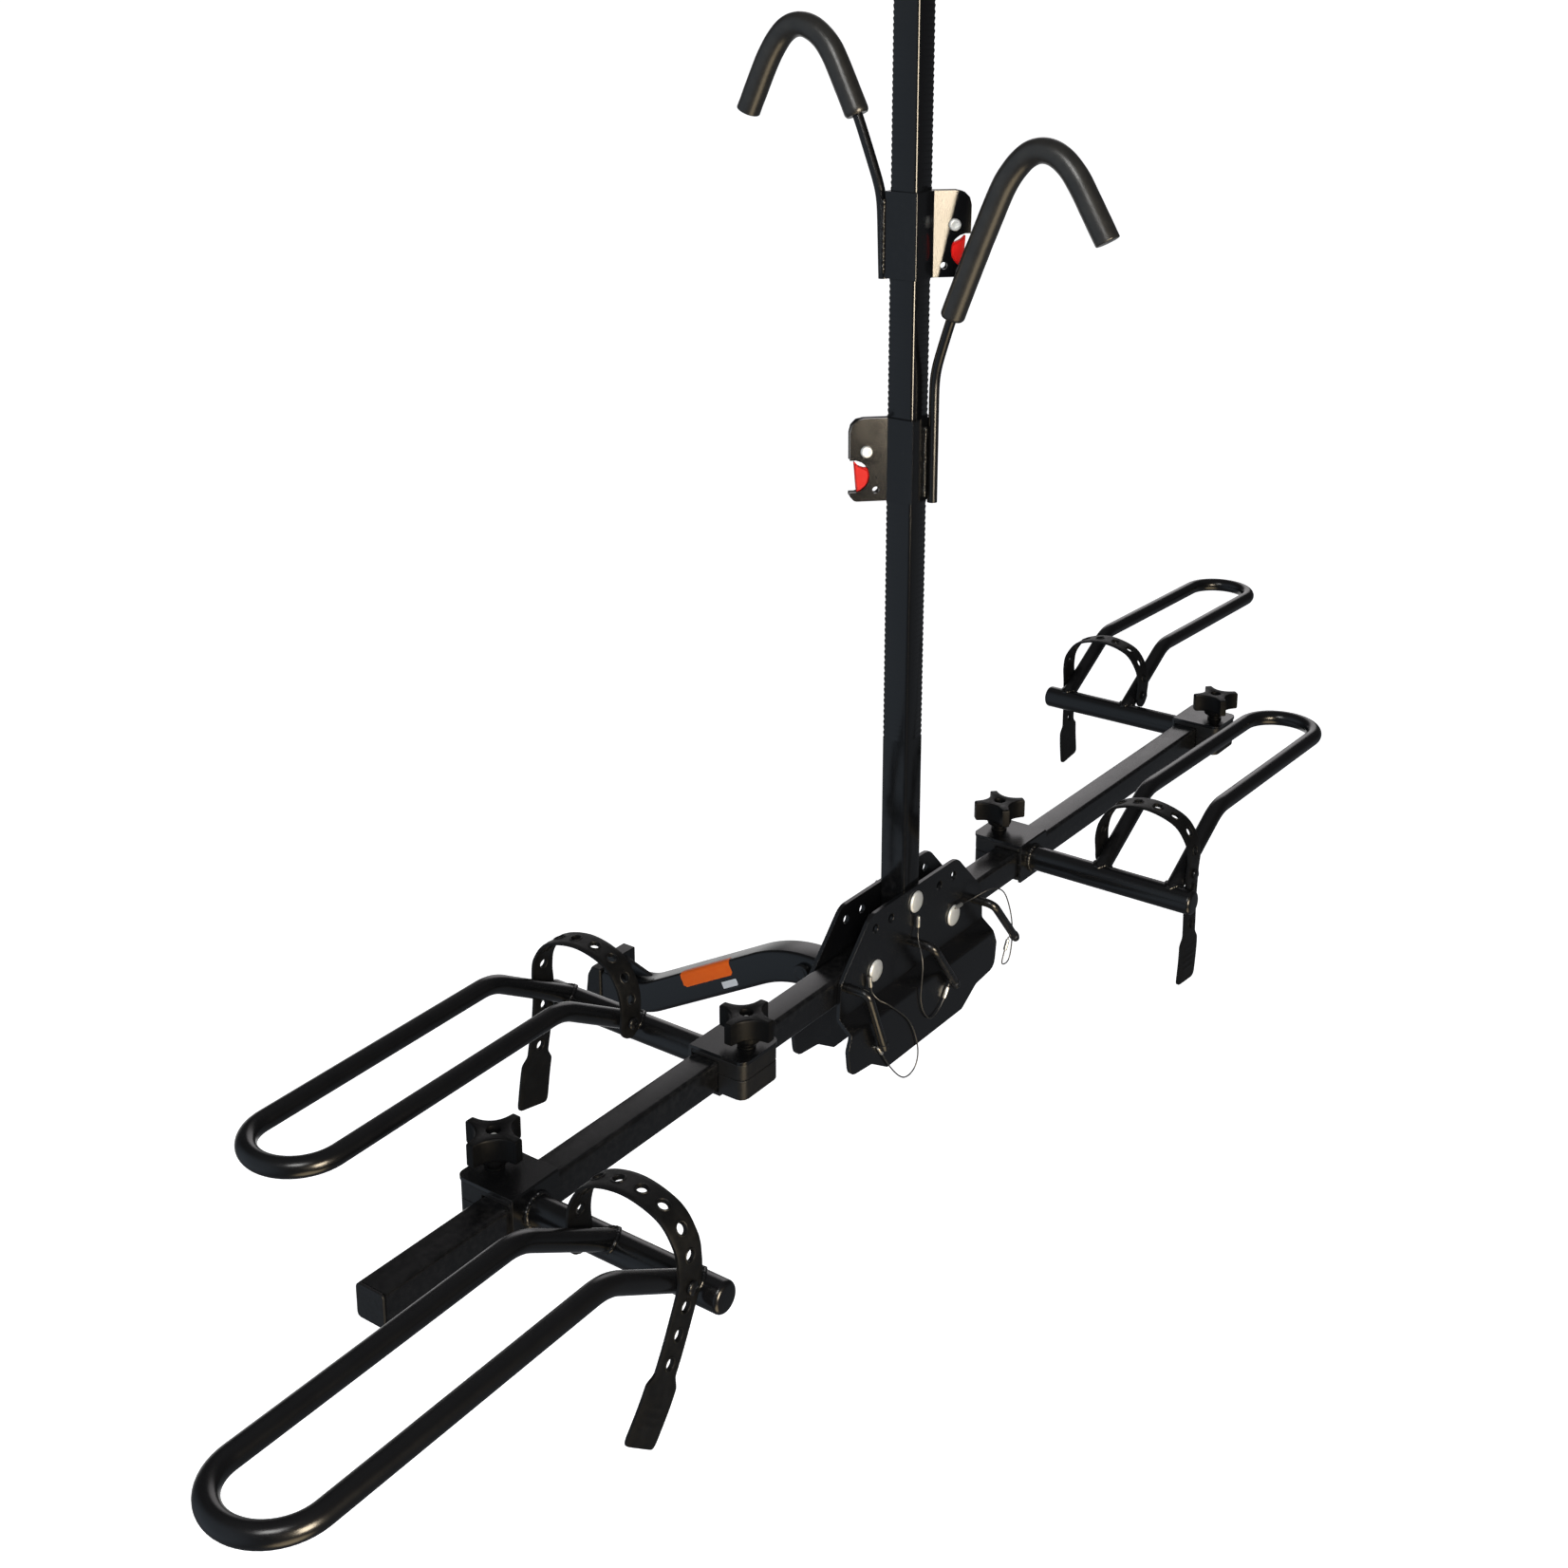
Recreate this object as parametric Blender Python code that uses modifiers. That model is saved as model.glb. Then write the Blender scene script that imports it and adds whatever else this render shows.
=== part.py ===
"""Hitch mounted hanging bike rack: a folding mast and two folding arms on a two-plate bracket.

Frame: +X along the right arm, +Y towards the vehicle, +Z up. The origin is on the underside of the
hitch bar's straight end, where the rack sits in a receiver. Below, positions are given from the point
where the mast's centre line crosses the arms' centre line, and RACK_ORIGIN carries them to the frame.
Sizes are in metres, written as millimetres times MM.
"""

import math

import bmesh
import bpy
from mathutils import Matrix, Vector

MM = 0.001
GAP = 0.3 * MM

# Square tube of the mast and the arms
TUBE = 31.75 * MM
TUBE_WALL = 2.5 * MM
TUBE_CORNER = 4.0 * MM
HALF = TUBE / 2
MAST_BOTTOM = -13 * MM
MAST_TOP = 1010 * MM
ARM_INNER = 58 * MM
ARM_OUTER = 771 * MM
CAP_FLANGE = 3 * MM
CAP_PLUG = 18 * MM

# Pivots and lock holes: each lock hole is LOCK_REACH from its pivot
PIVOT_X = 78 * MM
MAST_PIVOT_Z = 48 * MM
LOCK_REACH = 48 * MM
PIVOT_BOLT_R = 6 * MM
PIVOT_HEAD_R = 12 * MM
PIN_R = 4.75 * MM
PIN_HOLE_R = 5.25 * MM

# Bracket plates
PLATE_THICK = 4.5 * MM
PLATE_INSIDE = HALF + GAP
PLATE_OUTSIDE = PLATE_INSIDE + PLATE_THICK
SKIRT_SHIFT = 16 * MM
JOGGLE_TOP = -30 * MM
JOGGLE_BOTTOM = -43 * MM
PLATE_TOP = 66 * MM
PLATE_BOTTOM = -110 * MM

# Hitch bar
HITCH = 38.1 * MM
HITCH_WALL = 3.2 * MM
HITCH_CORNER = 5 * MM
HITCH_HIGH_Z = -70 * MM
HITCH_LOW_Z = -184 * MM
HITCH_BEND_1_Y = 146 * MM
HITCH_BEND_2_Y = 352 * MM
HITCH_END_Y = 432 * MM
HITCH_COLLAR_Y = 413 * MM
HITCH_COLLAR_STEP = 0.6 * MM
RACK_ORIGIN = (0, -390 * MM, -HITCH_LOW_Z + HITCH / 2)
HITCH_BOLT_Y = 113 * MM
HITCH_BOLT_R = 6 * MM

# Bicycle holders: (name, distance along the arm, arm side, side of the rod, turn of the knob)
HOLDERS = (
    ("left_outer", 600 * MM, -1, -1, 0),
    ("left_inner", 312 * MM, -1, 1, 0),
    ("right_inner", 261 * MM, 1, -1, 45),
    ("right_outer", 739 * MM, 1, 1, 45),
)
ROD_R = 14.3 * MM
ROD_END = 225 * MM
HOOP_R = 9.5 * MM
LEG_NEAR = 106 * MM
LEG_FAR = 196.5 * MM
HOOP_REACH = 441 * MM
HOOP_BEND = (113 * MM, 69 * MM)
HOOP_TIP_Z = 62 * MM
CLAMP_HALF = 29.5 * MM
CLAMP_PLATE = 3.5 * MM
CLAMP_TOP = 24 * MM
CLAMP_DEPTH = 47 * MM
JAW_DEPTH = 46 * MM
JAW_SPLIT = 4 * MM
CLAMP_BOLT_Y = 28 * MM
CLAMP_BOLT_R = 4 * MM
KNOB_LOW = 31 * MM
KNOB_MID = 45 * MM
KNOB_TOP = 60 * MM
STRAP_X = 28 * MM
STRAP_WIDE = 25 * MM
STRAP_THICK = 3.5 * MM
STUD_Z = 21.4 * MM

# Frame hooks on the mast: (name, height, side of the rod, direction of the ear in degrees)
LOWER_HOOK_Z = 537 * MM
UPPER_HOOK_Z = 764 * MM
SLEEVE_HALF = 43 * MM
SLEEVE_INSIDE = HALF + GAP
SLEEVE_OUTSIDE = 19.2 * MM
EAR_SLOT = 5 * MM
EAR_SHEET = 3 * MM
EAR_REACH = 60 * MM
LEVER_PIVOT = (43 * MM, 9 * MM)
NOTCH_CENTRE = (56.6 * MM, -16.7 * MM)
NOTCH_R = 17 * MM
EAR_HOLE = (32.9 * MM, -31.4 * MM)
HOOK_ROD_R = 5.25 * MM
HOOK_ROD_X = 10 * MM
FOAM_R = 12.5 * MM
LOWER_HOOK_PATH = ((24.75, -45), (24.75, 88), (43, 146), (70, 214), (100, 286), (137.5, 332), (174, 298), (211, 236))
UPPER_HOOK_PATH = ((24.75, -45), (28, 39), (57, 113), (92, 182), (134, 213), (166, 166), (192, 110))

POWDER_BLACK = ("powder_black", (0.018, 0.018, 0.020), 0.38, 0.0)
ZINC = ("zinc_plate", (0.62, 0.62, 0.60), 0.32, 1.0)
MOULDED_BLACK = ("moulded_black", (0.022, 0.022, 0.022), 0.55, 0.0)
RUBBER_BLACK = ("rubber_black", (0.020, 0.020, 0.020), 0.70, 0.0)
FOAM_BLACK = ("foam_black", (0.025, 0.025, 0.026), 0.92, 0.0)
VINYL_BLACK = ("vinyl_black", (0.015, 0.015, 0.015), 0.35, 0.0)
LEVER_RED = ("lever_red", (0.60, 0.03, 0.02), 0.40, 0.0)
WIRE_STEEL = ("wire_steel", (0.45, 0.45, 0.45), 0.40, 1.0)


# ---------------------------------------------------------------- scene and materials

def clear_scene():
    """Take everything out of the open file."""
    for item in list(bpy.data.objects):
        bpy.data.objects.remove(item, do_unlink=True)


def new_collection(name):
    collection = bpy.data.collections.new(name)
    bpy.context.scene.collection.children.link(collection)
    return collection


def material(finish):
    """The material of a finish: (name, colour, roughness, metallic)."""
    name, colour, roughness, metallic = finish
    found = bpy.data.materials.get(name)
    if found:
        return found
    made = bpy.data.materials.new(name)
    made.use_nodes = True
    shader = made.node_tree.nodes["Principled BSDF"]
    shader.inputs["Base Color"].default_value = (*colour, 1.0)
    shader.inputs["Roughness"].default_value = roughness
    shader.inputs["Metallic"].default_value = metallic
    made.diffuse_color = (*colour, 1.0)
    return made


def place(name, mesh, finish, parent, location=(0, 0, 0), turn=0.0):
    """One sub-part, set down in its parent's frame and turned about Z."""
    mesh.materials.clear()
    mesh.materials.append(material(finish))
    part = bpy.data.objects.new(name, mesh)
    parts.objects.link(part)
    part.parent = parent
    part.location = location
    part.rotation_euler = (0, 0, turn)
    return part


def joint_frame(name, location=(0, 0, 0), parent=None, turn=0.0):
    """An empty that carries the pieces of one joint. One without a parent hangs from the rack's empty."""
    frame = bpy.data.objects.new(name, None)
    parts.objects.link(frame)
    frame.empty_display_size = 0.03
    frame.parent = parent or rack
    frame.location = location
    frame.rotation_euler = (0, 0, turn)
    return frame


# ---------------------------------------------------------------- points and outlines

def filleted(corners, closed=True, segments=3):
    """Points along a polyline whose corners, each (point, radius), are rounded with arcs."""
    points = []
    count = len(corners)
    for i, (corner, radius) in enumerate(corners):
        corner = Vector(corner)
        if radius == 0 or (not closed and i in (0, count - 1)):
            points.append(corner)
            continue
        before = (Vector(corners[i - 1][0]) - corner).normalized()
        after = (Vector(corners[(i + 1) % count][0]) - corner).normalized()
        half = before.angle(after) / 2
        centre = corner + (before + after).normalized() * (radius / math.sin(half))
        start = corner + before * (radius / math.tan(half)) - centre
        end = corner + after * (radius / math.tan(half)) - centre
        for k in range(segments + 1):
            share = k / segments
            points.append(centre + start.slerp(end, share, start).normalized() * radius)
    return points


def flat(points):
    """Two-number corners as corners with a zero third number."""
    return [((u, v, 0.0), radius) for u, v, radius in points]


def rounded_square(width, corner, segments=2):
    half = width / 2
    corners = flat(((half, half, corner), (-half, half, corner), (-half, -half, corner), (half, -half, corner)))
    return filleted(corners, segments=segments)


def ribbon(path, thickness):
    """Closed outline of a strip of this thickness, centred on a path."""
    left = []
    right = []
    for i, point in enumerate(path):
        before = (point - path[i - 1]).normalized() if i else None
        after = (path[i + 1] - point).normalized() if i < len(path) - 1 else None
        along = ((before or after) + (after or before)).normalized()
        across = Vector((-along.y, along.x, 0.0))
        stretch = 1 / max(0.5, along.dot(after or before))
        left.append(point + across * thickness / 2 * stretch)
        right.append(point - across * thickness / 2 * stretch)
    return left + right[::-1]


# ---------------------------------------------------------------- meshes from Blender's tools

def baked(source):
    """The mesh that a temporary object evaluates to, with its loose caps welded on."""
    graph = bpy.context.evaluated_depsgraph_get()
    graph.update()
    mesh = bpy.data.meshes.new_from_object(source.evaluated_get(graph))
    work = bmesh.new()
    work.from_mesh(mesh)
    bmesh.ops.remove_doubles(work, verts=work.verts, dist=0.00001)
    bmesh.ops.recalc_face_normals(work, faces=work.faces)
    work.to_mesh(mesh)
    work.free()
    bpy.data.objects.remove(source, do_unlink=True)
    return mesh


def temporary(data):
    item = bpy.data.objects.new("temporary", data)
    cutters.objects.link(item)
    item.hide_render = True
    item.display_type = "WIRE"
    return item


def box(low, high):
    work = bmesh.new()
    bmesh.ops.create_cube(work, size=1.0)
    size = Vector(high) - Vector(low)
    middle = (Vector(high) + Vector(low)) / 2
    bmesh.ops.scale(work, vec=size, verts=work.verts)
    bmesh.ops.translate(work, vec=middle, verts=work.verts)
    mesh = bpy.data.meshes.new("box")
    work.to_mesh(mesh)
    work.free()
    return mesh


def cylinder(radius, start, end, sides=16):
    start = Vector(start)
    run = Vector(end) - start
    turn = run.to_track_quat("Z", "Y").to_matrix().to_4x4()
    work = bmesh.new()
    bmesh.ops.create_cone(
        work, cap_ends=True, segments=sides, radius1=radius, radius2=radius, depth=run.length,
        matrix=Matrix.Translation(start + run / 2) @ turn,
    )
    mesh = bpy.data.meshes.new("cylinder")
    work.to_mesh(mesh)
    work.free()
    return mesh


FACING = {
    "x": Matrix(((0, 0, 1, 0), (1, 0, 0, 0), (0, 1, 0, 0), (0, 0, 0, 1))),
    "y": Matrix(((1, 0, 0, 0), (0, 0, -1, 0), (0, 1, 0, 0), (0, 0, 0, 1))),
    "z": Matrix.Identity(4),
}


def slab(loops, low, high, axis="z"):
    """Flat outlines given thickness from low to high along an axis. The second outline is a hole."""
    curve = bpy.data.curves.new("outline", "CURVE")
    curve.dimensions = "2D"
    curve.fill_mode = "BOTH"
    curve.extrude = (high - low) / 2
    for loop in loops:
        spline = curve.splines.new("POLY")
        spline.points.add(len(loop) - 1)
        for point, place_at in zip(spline.points, loop):
            point.co = (place_at[0], place_at[1], 0.0, 1.0)
        spline.use_cyclic_u = True
    mesh = baked(temporary(curve))
    middle = (low + high) / 2
    shift = {"x": (middle, 0, 0), "y": (0, middle, 0), "z": (0, 0, middle)}[axis]
    mesh.transform(Matrix.Translation(shift) @ FACING[axis])
    return mesh


def bar(points, radius, resolution=2, swell=None):
    """A round bar along a polyline. swell gives each point's share of the radius."""
    curve = bpy.data.curves.new("bar", "CURVE")
    curve.dimensions = "3D"
    curve.bevel_depth = radius
    curve.bevel_resolution = resolution
    curve.use_fill_caps = True
    spline = curve.splines.new("POLY")
    spline.points.add(len(points) - 1)
    for i, (point, place_at) in enumerate(zip(spline.points, points)):
        point.co = (*place_at, 1.0)
        point.radius = swell[i] if swell else 1.0
    return baked(temporary(curve))


def swept(points, section):
    """A bar along a polyline with a flat outline as its section."""
    outline = bpy.data.curves.new("section", "CURVE")
    outline.dimensions = "2D"
    ring = outline.splines.new("POLY")
    ring.points.add(len(section) - 1)
    for point, place_at in zip(ring.points, section):
        point.co = (place_at[0], place_at[1], 0.0, 1.0)
    ring.use_cyclic_u = True
    guide = temporary(outline)
    curve = bpy.data.curves.new("path", "CURVE")
    curve.dimensions = "3D"
    curve.twist_mode = "Z_UP"
    curve.bevel_mode = "OBJECT"
    curve.bevel_object = guide
    curve.use_fill_caps = True
    spline = curve.splines.new("POLY")
    spline.points.add(len(points) - 1)
    for point, place_at in zip(spline.points, points):
        point.co = (*place_at, 1.0)
    mesh = baked(temporary(curve))
    bpy.data.objects.remove(guide, do_unlink=True)
    return mesh


def turned(profile, sides=16, axis=(0, 0, 1), base=(0, 0, 0)):
    """A profile of (radius, height), top to bottom down the outer side, turned about an axis."""
    mesh = bpy.data.meshes.new("profile")
    edges = [(i, i + 1) for i in range(len(profile) - 1)]
    mesh.from_pydata([(radius, 0.0, height) for radius, height in profile], edges, [])
    item = temporary(mesh)
    screw = item.modifiers.new("turn", "SCREW")
    screw.steps = sides
    screw.render_steps = sides
    screw.use_merge_vertices = True
    screw.merge_threshold = 0.00001
    made = baked(item)
    turn = Vector(axis).to_track_quat("Z", "Y").to_matrix().to_4x4()
    made.transform(Matrix.Translation(base) @ turn)
    return made


def joined(meshes):
    """Several meshes as one, without merging their shapes."""
    work = bmesh.new()
    for mesh in meshes:
        work.from_mesh(mesh)
    result = bpy.data.meshes.new("joined")
    work.to_mesh(result)
    work.free()
    return result


def shaped(mesh, operation, tool):
    """A mesh after one Boolean with another."""
    item = temporary(mesh)
    other = temporary(tool)
    boolean = item.modifiers.new("shape", "BOOLEAN")
    boolean.operation = operation
    boolean.solver = "EXACT"
    boolean.object = other
    result = baked(item)
    bpy.data.objects.remove(other, do_unlink=True)
    return result


def cut(mesh, *tools):
    return shaped(mesh, "DIFFERENCE", joined(tools))


def welded(mesh, *others):
    for other in others:
        mesh = shaped(mesh, "UNION", other)
    return mesh


def mirrored(mesh):
    """A copy of a mesh, mirrored in Y."""
    copy = mesh.copy()
    work = bmesh.new()
    work.from_mesh(copy)
    bmesh.ops.scale(work, vec=(1, -1, 1), verts=work.verts)
    bmesh.ops.reverse_faces(work, faces=work.faces)
    work.to_mesh(copy)
    work.free()
    return copy


def smooth(mesh, degrees=35):
    mesh.shade_smooth()
    mesh.set_sharp_from_angle(angle=math.radians(degrees))
    return mesh


def turned_about_z(mesh, angle):
    copy = mesh.copy()
    copy.transform(Matrix.Rotation(angle, 4, "Z"))
    return copy


# ---------------------------------------------------------------- bracket

def across_plates(radius, spots, sides=16):
    """Cutters through both plates at (x, z) spots."""
    return [cylinder(radius, (x, -0.1, z), (x, 0.1, z), sides) for x, z in spots]


def outer_plate_mesh():
    """The plate on the cycles' side: flat above, stepped outwards into a skirt below."""
    middle = -(PLATE_INSIDE + PLATE_THICK / 2)
    path = filleted(
        flat((
            (middle, PLATE_TOP + 10 * MM, 0),
            (middle, JOGGLE_TOP, 6 * MM),
            (middle - SKIRT_SHIFT, JOGGLE_BOTTOM, 6 * MM),
            (middle - SKIRT_SHIFT, PLATE_BOTTOM - 10 * MM, 0),
        )),
        closed=False, segments=2,
    )
    sheet = slab([ribbon(path, PLATE_THICK)], -0.2, 0.2, "x")
    right = (
        (86, PLATE_TOP / MM, 20), (141, 9, 12), (144, -44, 0), (150, -58, 8), (146, -88, 12),
        (106, -92, 10), (76, PLATE_BOTTOM / MM, 5),
    )
    left = tuple((-x, z, radius) for x, z, radius in reversed(right))
    outline = filleted(flat([(x * MM, z * MM, radius * MM) for x, z, radius in left + right]))
    plate = shaped(sheet, "INTERSECT", slab([outline], -0.1, 0.1, "y"))
    pivots = ((0, MAST_PIVOT_Z), (PIVOT_X, 0), (-PIVOT_X, 0))
    locked = ((0, 0), (PIVOT_X + LOCK_REACH, 0), (-PIVOT_X - LOCK_REACH, 0))
    folded = (
        (PIVOT_X, LOCK_REACH), (-PIVOT_X, LOCK_REACH),
        (LOCK_REACH, MAST_PIVOT_Z), (-LOCK_REACH, MAST_PIVOT_Z),
    )
    holes = across_plates(PIVOT_BOLT_R + GAP, pivots) + across_plates(PIN_HOLE_R, locked + folded, 12)
    return cut(plate, *holes)


def build_bracket():
    plate = outer_plate_mesh()
    place("outer_plate", plate, POWDER_BLACK, bracket)
    opening = HITCH / 2 + GAP
    window = box((-opening, 0, HITCH_HIGH_Z - opening), (opening, 0.1, HITCH_HIGH_Z + opening))
    place("inner_plate", cut(mirrored(plate), window), POWDER_BLACK, bracket)

    corners = (
        ((0, -PLATE_INSIDE - SKIRT_SHIFT + GAP, HITCH_HIGH_Z), 0),
        ((0, HITCH_BEND_1_Y, HITCH_HIGH_Z), 150 * MM),
        ((0, HITCH_BEND_2_Y, HITCH_LOW_Z), 80 * MM),
        ((0, HITCH_END_Y, HITCH_LOW_Z), 0),
    )
    path = filleted(corners, closed=False, segments=5)
    inner_path = [path[0] - Vector((0, 0.01, 0)), *path[1:-1], path[-1] + Vector((0, 0.01, 0))]
    outside = swept(path, rounded_square(HITCH, HITCH_CORNER))
    inside = swept(inner_path, rounded_square(HITCH - 2 * HITCH_WALL, HITCH_CORNER - HITCH_WALL, 1))
    bolt_from = (-0.1, HITCH_BOLT_Y, HITCH_HIGH_Z)
    bolt_to = (0.1, HITCH_BOLT_Y, HITCH_HIGH_Z)
    hitch = cut(cut(outside, inside), cylinder(HITCH_BOLT_R + GAP, bolt_from, bolt_to, 16))
    wide = rounded_square(HITCH + 10 * MM, HITCH_CORNER)
    seat = rounded_square(HITCH - 2 * HITCH_COLLAR_STEP, HITCH_CORNER - HITCH_COLLAR_STEP)
    turning = slab([wide, seat], HITCH_COLLAR_Y, HITCH_END_Y + 10 * MM, "y")
    turning.transform(Matrix.Translation((0, 0, HITCH_LOW_Z)))
    hitch = cut(hitch, turning)
    place("hitch_bar", hitch, POWDER_BLACK, bracket)

    half = HITCH / 2
    top = HITCH_LOW_Z + half + GAP
    stop = box((-half, 392 * MM, top), (half, 410 * MM, -141 * MM))
    gusset_outline = [
        (349 * MM, -158 * MM), (366 * MM, -163.4 * MM), (378 * MM, top), (393 * MM, top), (393 * MM, -145 * MM)
    ]
    gusset = slab([gusset_outline], -3 * MM, 3 * MM, "x")
    place("hitch_stop", welded(stop, gusset), POWDER_BLACK, bracket)

    cap_half = half + 3 * MM
    cap_solid = slab(
        [[(y, z) for y, z in (
            (414 * MM, HITCH_LOW_Z - cap_half), (438 * MM, HITCH_LOW_Z - cap_half),
            (434 * MM, HITCH_LOW_Z + 11 * MM), (428 * MM, HITCH_LOW_Z + cap_half),
            (414 * MM, HITCH_LOW_Z + cap_half),
        )]],
        -cap_half, cap_half, "x",
    )
    clear = half - HITCH_COLLAR_STEP + GAP
    socket = box(
        (-clear, 0.4, HITCH_LOW_Z - clear), (clear, HITCH_END_Y + GAP, HITCH_LOW_Z + clear)
    )
    bevelled = temporary(cap_solid)
    bevel = bevelled.modifiers.new("edges", "BEVEL")
    bevel.width = 1.5 * MM
    bevel.segments = 1
    place("hitch_end_cap", cut(baked(bevelled), socket), MOULDED_BLACK, bracket)

    head = ((0, 7), (7.5, 7), (10.5, 5), (10.5, 0), (6, 0), (6, -51), (0, -51))
    bolt = turned([(r * MM, z * MM) for r, z in head], axis=(-1, 0, 0), base=(-half - GAP, HITCH_BOLT_Y, HITCH_HIGH_Z))
    place("hitch_cross_bolt", smooth(bolt), POWDER_BLACK, bracket)
    nut_start = Vector((half + GAP, HITCH_BOLT_Y, HITCH_HIGH_Z))
    place("hitch_cross_nut", nut_mesh(10.5 * MM, 9 * MM, HITCH_BOLT_R, nut_start, (1, 0, 0)), POWDER_BLACK, bracket)


def nut_mesh(radius, height, bore, start, along):
    """A hexagon nut that stands on start and runs along a direction."""
    along = Vector(along)
    body = cylinder(radius, start, start + along * height, 6)
    return cut(body, cylinder(bore + GAP, start - along * height, start + along * height * 2, 16))


def pivot_bolt_mesh():
    """Carriage bolt: a domed head, then a plain shank that runs towards the vehicle."""
    dome = [
        (PIVOT_HEAD_R * math.sin(a), 3.0 * MM * math.cos(a) + 1 * MM)
        for a in (math.radians(step) for step in (0, 30, 55, 75, 90))
    ]
    length = 2 * PLATE_OUTSIDE + 14 * MM
    shank = [(PIVOT_HEAD_R, 0), (PIVOT_BOLT_R, 0), (PIVOT_BOLT_R, -length), (0, -length)]
    return smooth(turned(dome + shank, axis=(0, -1, 0), base=(0, -PLATE_OUTSIDE - GAP, 0)))


def build_pivots():
    """Bolt and nut at each of the three pivots."""
    bolt = pivot_bolt_mesh()
    nut = nut_mesh(11 * MM, 9.5 * MM, PIVOT_BOLT_R, Vector((0, PLATE_OUTSIDE + GAP, 0)), (0, 1, 0))
    for name, x, z in (("mast", 0, MAST_PIVOT_Z), ("left", -PIVOT_X, 0), ("right", PIVOT_X, 0)):
        place(f"{name}_pivot_bolt", bolt.copy(), ZINC, bracket, (x, 0, z))
        place(f"{name}_pivot_nut", nut.copy(), ZINC, bracket, (x, 0, z))


# ---------------------------------------------------------------- lock pins and lanyards

PIN_FRONT = -45 * MM
PINS = (
    ("left", -PIVOT_X - LOCK_REACH, 0, (24, -58)),
    ("mast", 0, 0, (53, -71)),
    ("right", PIVOT_X + LOCK_REACH, 0, (58, -69)),
)
PIN_HANDLE = 85 * MM


def pin_mesh(slope):
    """L-shaped pin about its lock hole: a shank into the outer plate, and a hanging handle."""
    hang = Vector((slope[0], 0, slope[1])).normalized()
    corners = (
        ((0, -PLATE_INSIDE, 0), 0),
        ((0, PIN_FRONT, 0), 9 * MM),
        (Vector((0, PIN_FRONT, 0)) + hang * PIN_HANDLE, 0),
    )
    path = filleted(corners, closed=False, segments=5)
    return smooth(bar(path, PIN_R, 2))


def lanyard_path(name):
    """Wire from a pivot bolt, behind the pin's handle, back up to the handle's end."""
    near_plate = -PLATE_OUTSIDE - 2.2 * MM
    clear = -38.5 * MM
    routes = {
        "left": ((-92, near_plate, 10), (-98, -27 * MM, -2), (-86, clear, -22), (-36, clear, -74),
                 (-19, clear, -112), (-24, clear, -134), (-46, clear, -136), (-72, clear, -112), (-86, clear, -90)),
        "mast": ((-24, near_plate, 46), (-25, near_plate, 26), (-29, -28 * MM, -2), (-26, clear, -24),
                 (-14, clear, -72), (4, clear, -88), (26, clear, -84), (42, clear, -78)),
        "right": ((62, near_plate, 25), (80, near_plate, 21), (104, near_plate, 18), (134, -30 * MM, 2), (151, clear, -18),
                  (163, clear, -46), (176, clear, -76), (168, clear, -92), (150, clear, -80), (146, clear, -66)),
    }
    return [((x * MM, y, z * MM), 0) for x, y, z in routes[name]]


def smooth_path(points, steps=3):
    """Catmull-Rom points through a list of points."""
    points = [Vector(point) for point in points]
    ends = [points[0] * 2 - points[1], *points, points[-1] * 2 - points[-2]]
    result = []
    for i in range(1, len(ends) - 2):
        a, b, c, d = ends[i - 1:i + 3]
        for k in range(steps):
            t = k / steps
            result.append(
                0.5 * ((2 * b) + (c - a) * t + (2 * a - 5 * b + 4 * c - d) * t ** 2
                       + (3 * b - a - 3 * c + d) * t ** 3)
            )
    result.append(points[-1])
    return result


def build_pins():
    for name, x, z, slope in PINS:
        frame = joint_frame(f"{name}_pin_slide", (x, 0, z), bracket)
        place(f"{name}_lock_pin", pin_mesh(slope), VINYL_BLACK, frame)
        path = smooth_path([point for point, radius in lanyard_path(name)], 3)
        wire = bar(path, 0.9 * MM, 1)
        place(f"{name}_lanyard", smooth(wire), WIRE_STEEL, bracket)


# ---------------------------------------------------------------- mast and arms

def tube_mesh(low, high, axis):
    loops = [rounded_square(TUBE, TUBE_CORNER), rounded_square(TUBE - 2 * TUBE_WALL, TUBE_CORNER - TUBE_WALL, 1)]
    return slab(loops, low, high, axis)


def cap_mesh(end, axis):
    """Push-in plug with a flange: the tube ends at `end`, and the plug goes back from it."""
    plug_half = HALF - TUBE_WALL - GAP
    way = 1 if end > 0 else -1
    faces = sorted((end + way * GAP, end + way * (GAP + CAP_FLANGE)))
    flange = slab([rounded_square(TUBE, TUBE_CORNER)], faces[0], faces[1], axis)
    inside = sorted((end + way * (GAP + 1 * MM), end - way * CAP_PLUG))
    plug = slab([rounded_square(2 * plug_half, 1.5 * MM, 1)], inside[0], inside[1], axis)
    return welded(flange, plug)


def build_mast():
    """The mast, made about its hinge."""
    hinge = joint_frame("mast_hinge", (0, 0, MAST_PIVOT_Z))
    mast = tube_mesh(MAST_BOTTOM - MAST_PIVOT_Z, MAST_TOP - MAST_PIVOT_Z, "z")
    holes = across_plates(PIVOT_BOLT_R + GAP, ((0, 0),)) + across_plates(PIN_HOLE_R, ((0, -MAST_PIVOT_Z),), 12)
    place("mast_tube", cut(mast, *holes), POWDER_BLACK, hinge)
    place("mast_cap", cap_mesh(MAST_TOP - MAST_PIVOT_Z, "z"), MOULDED_BLACK, hinge)
    return hinge


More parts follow.
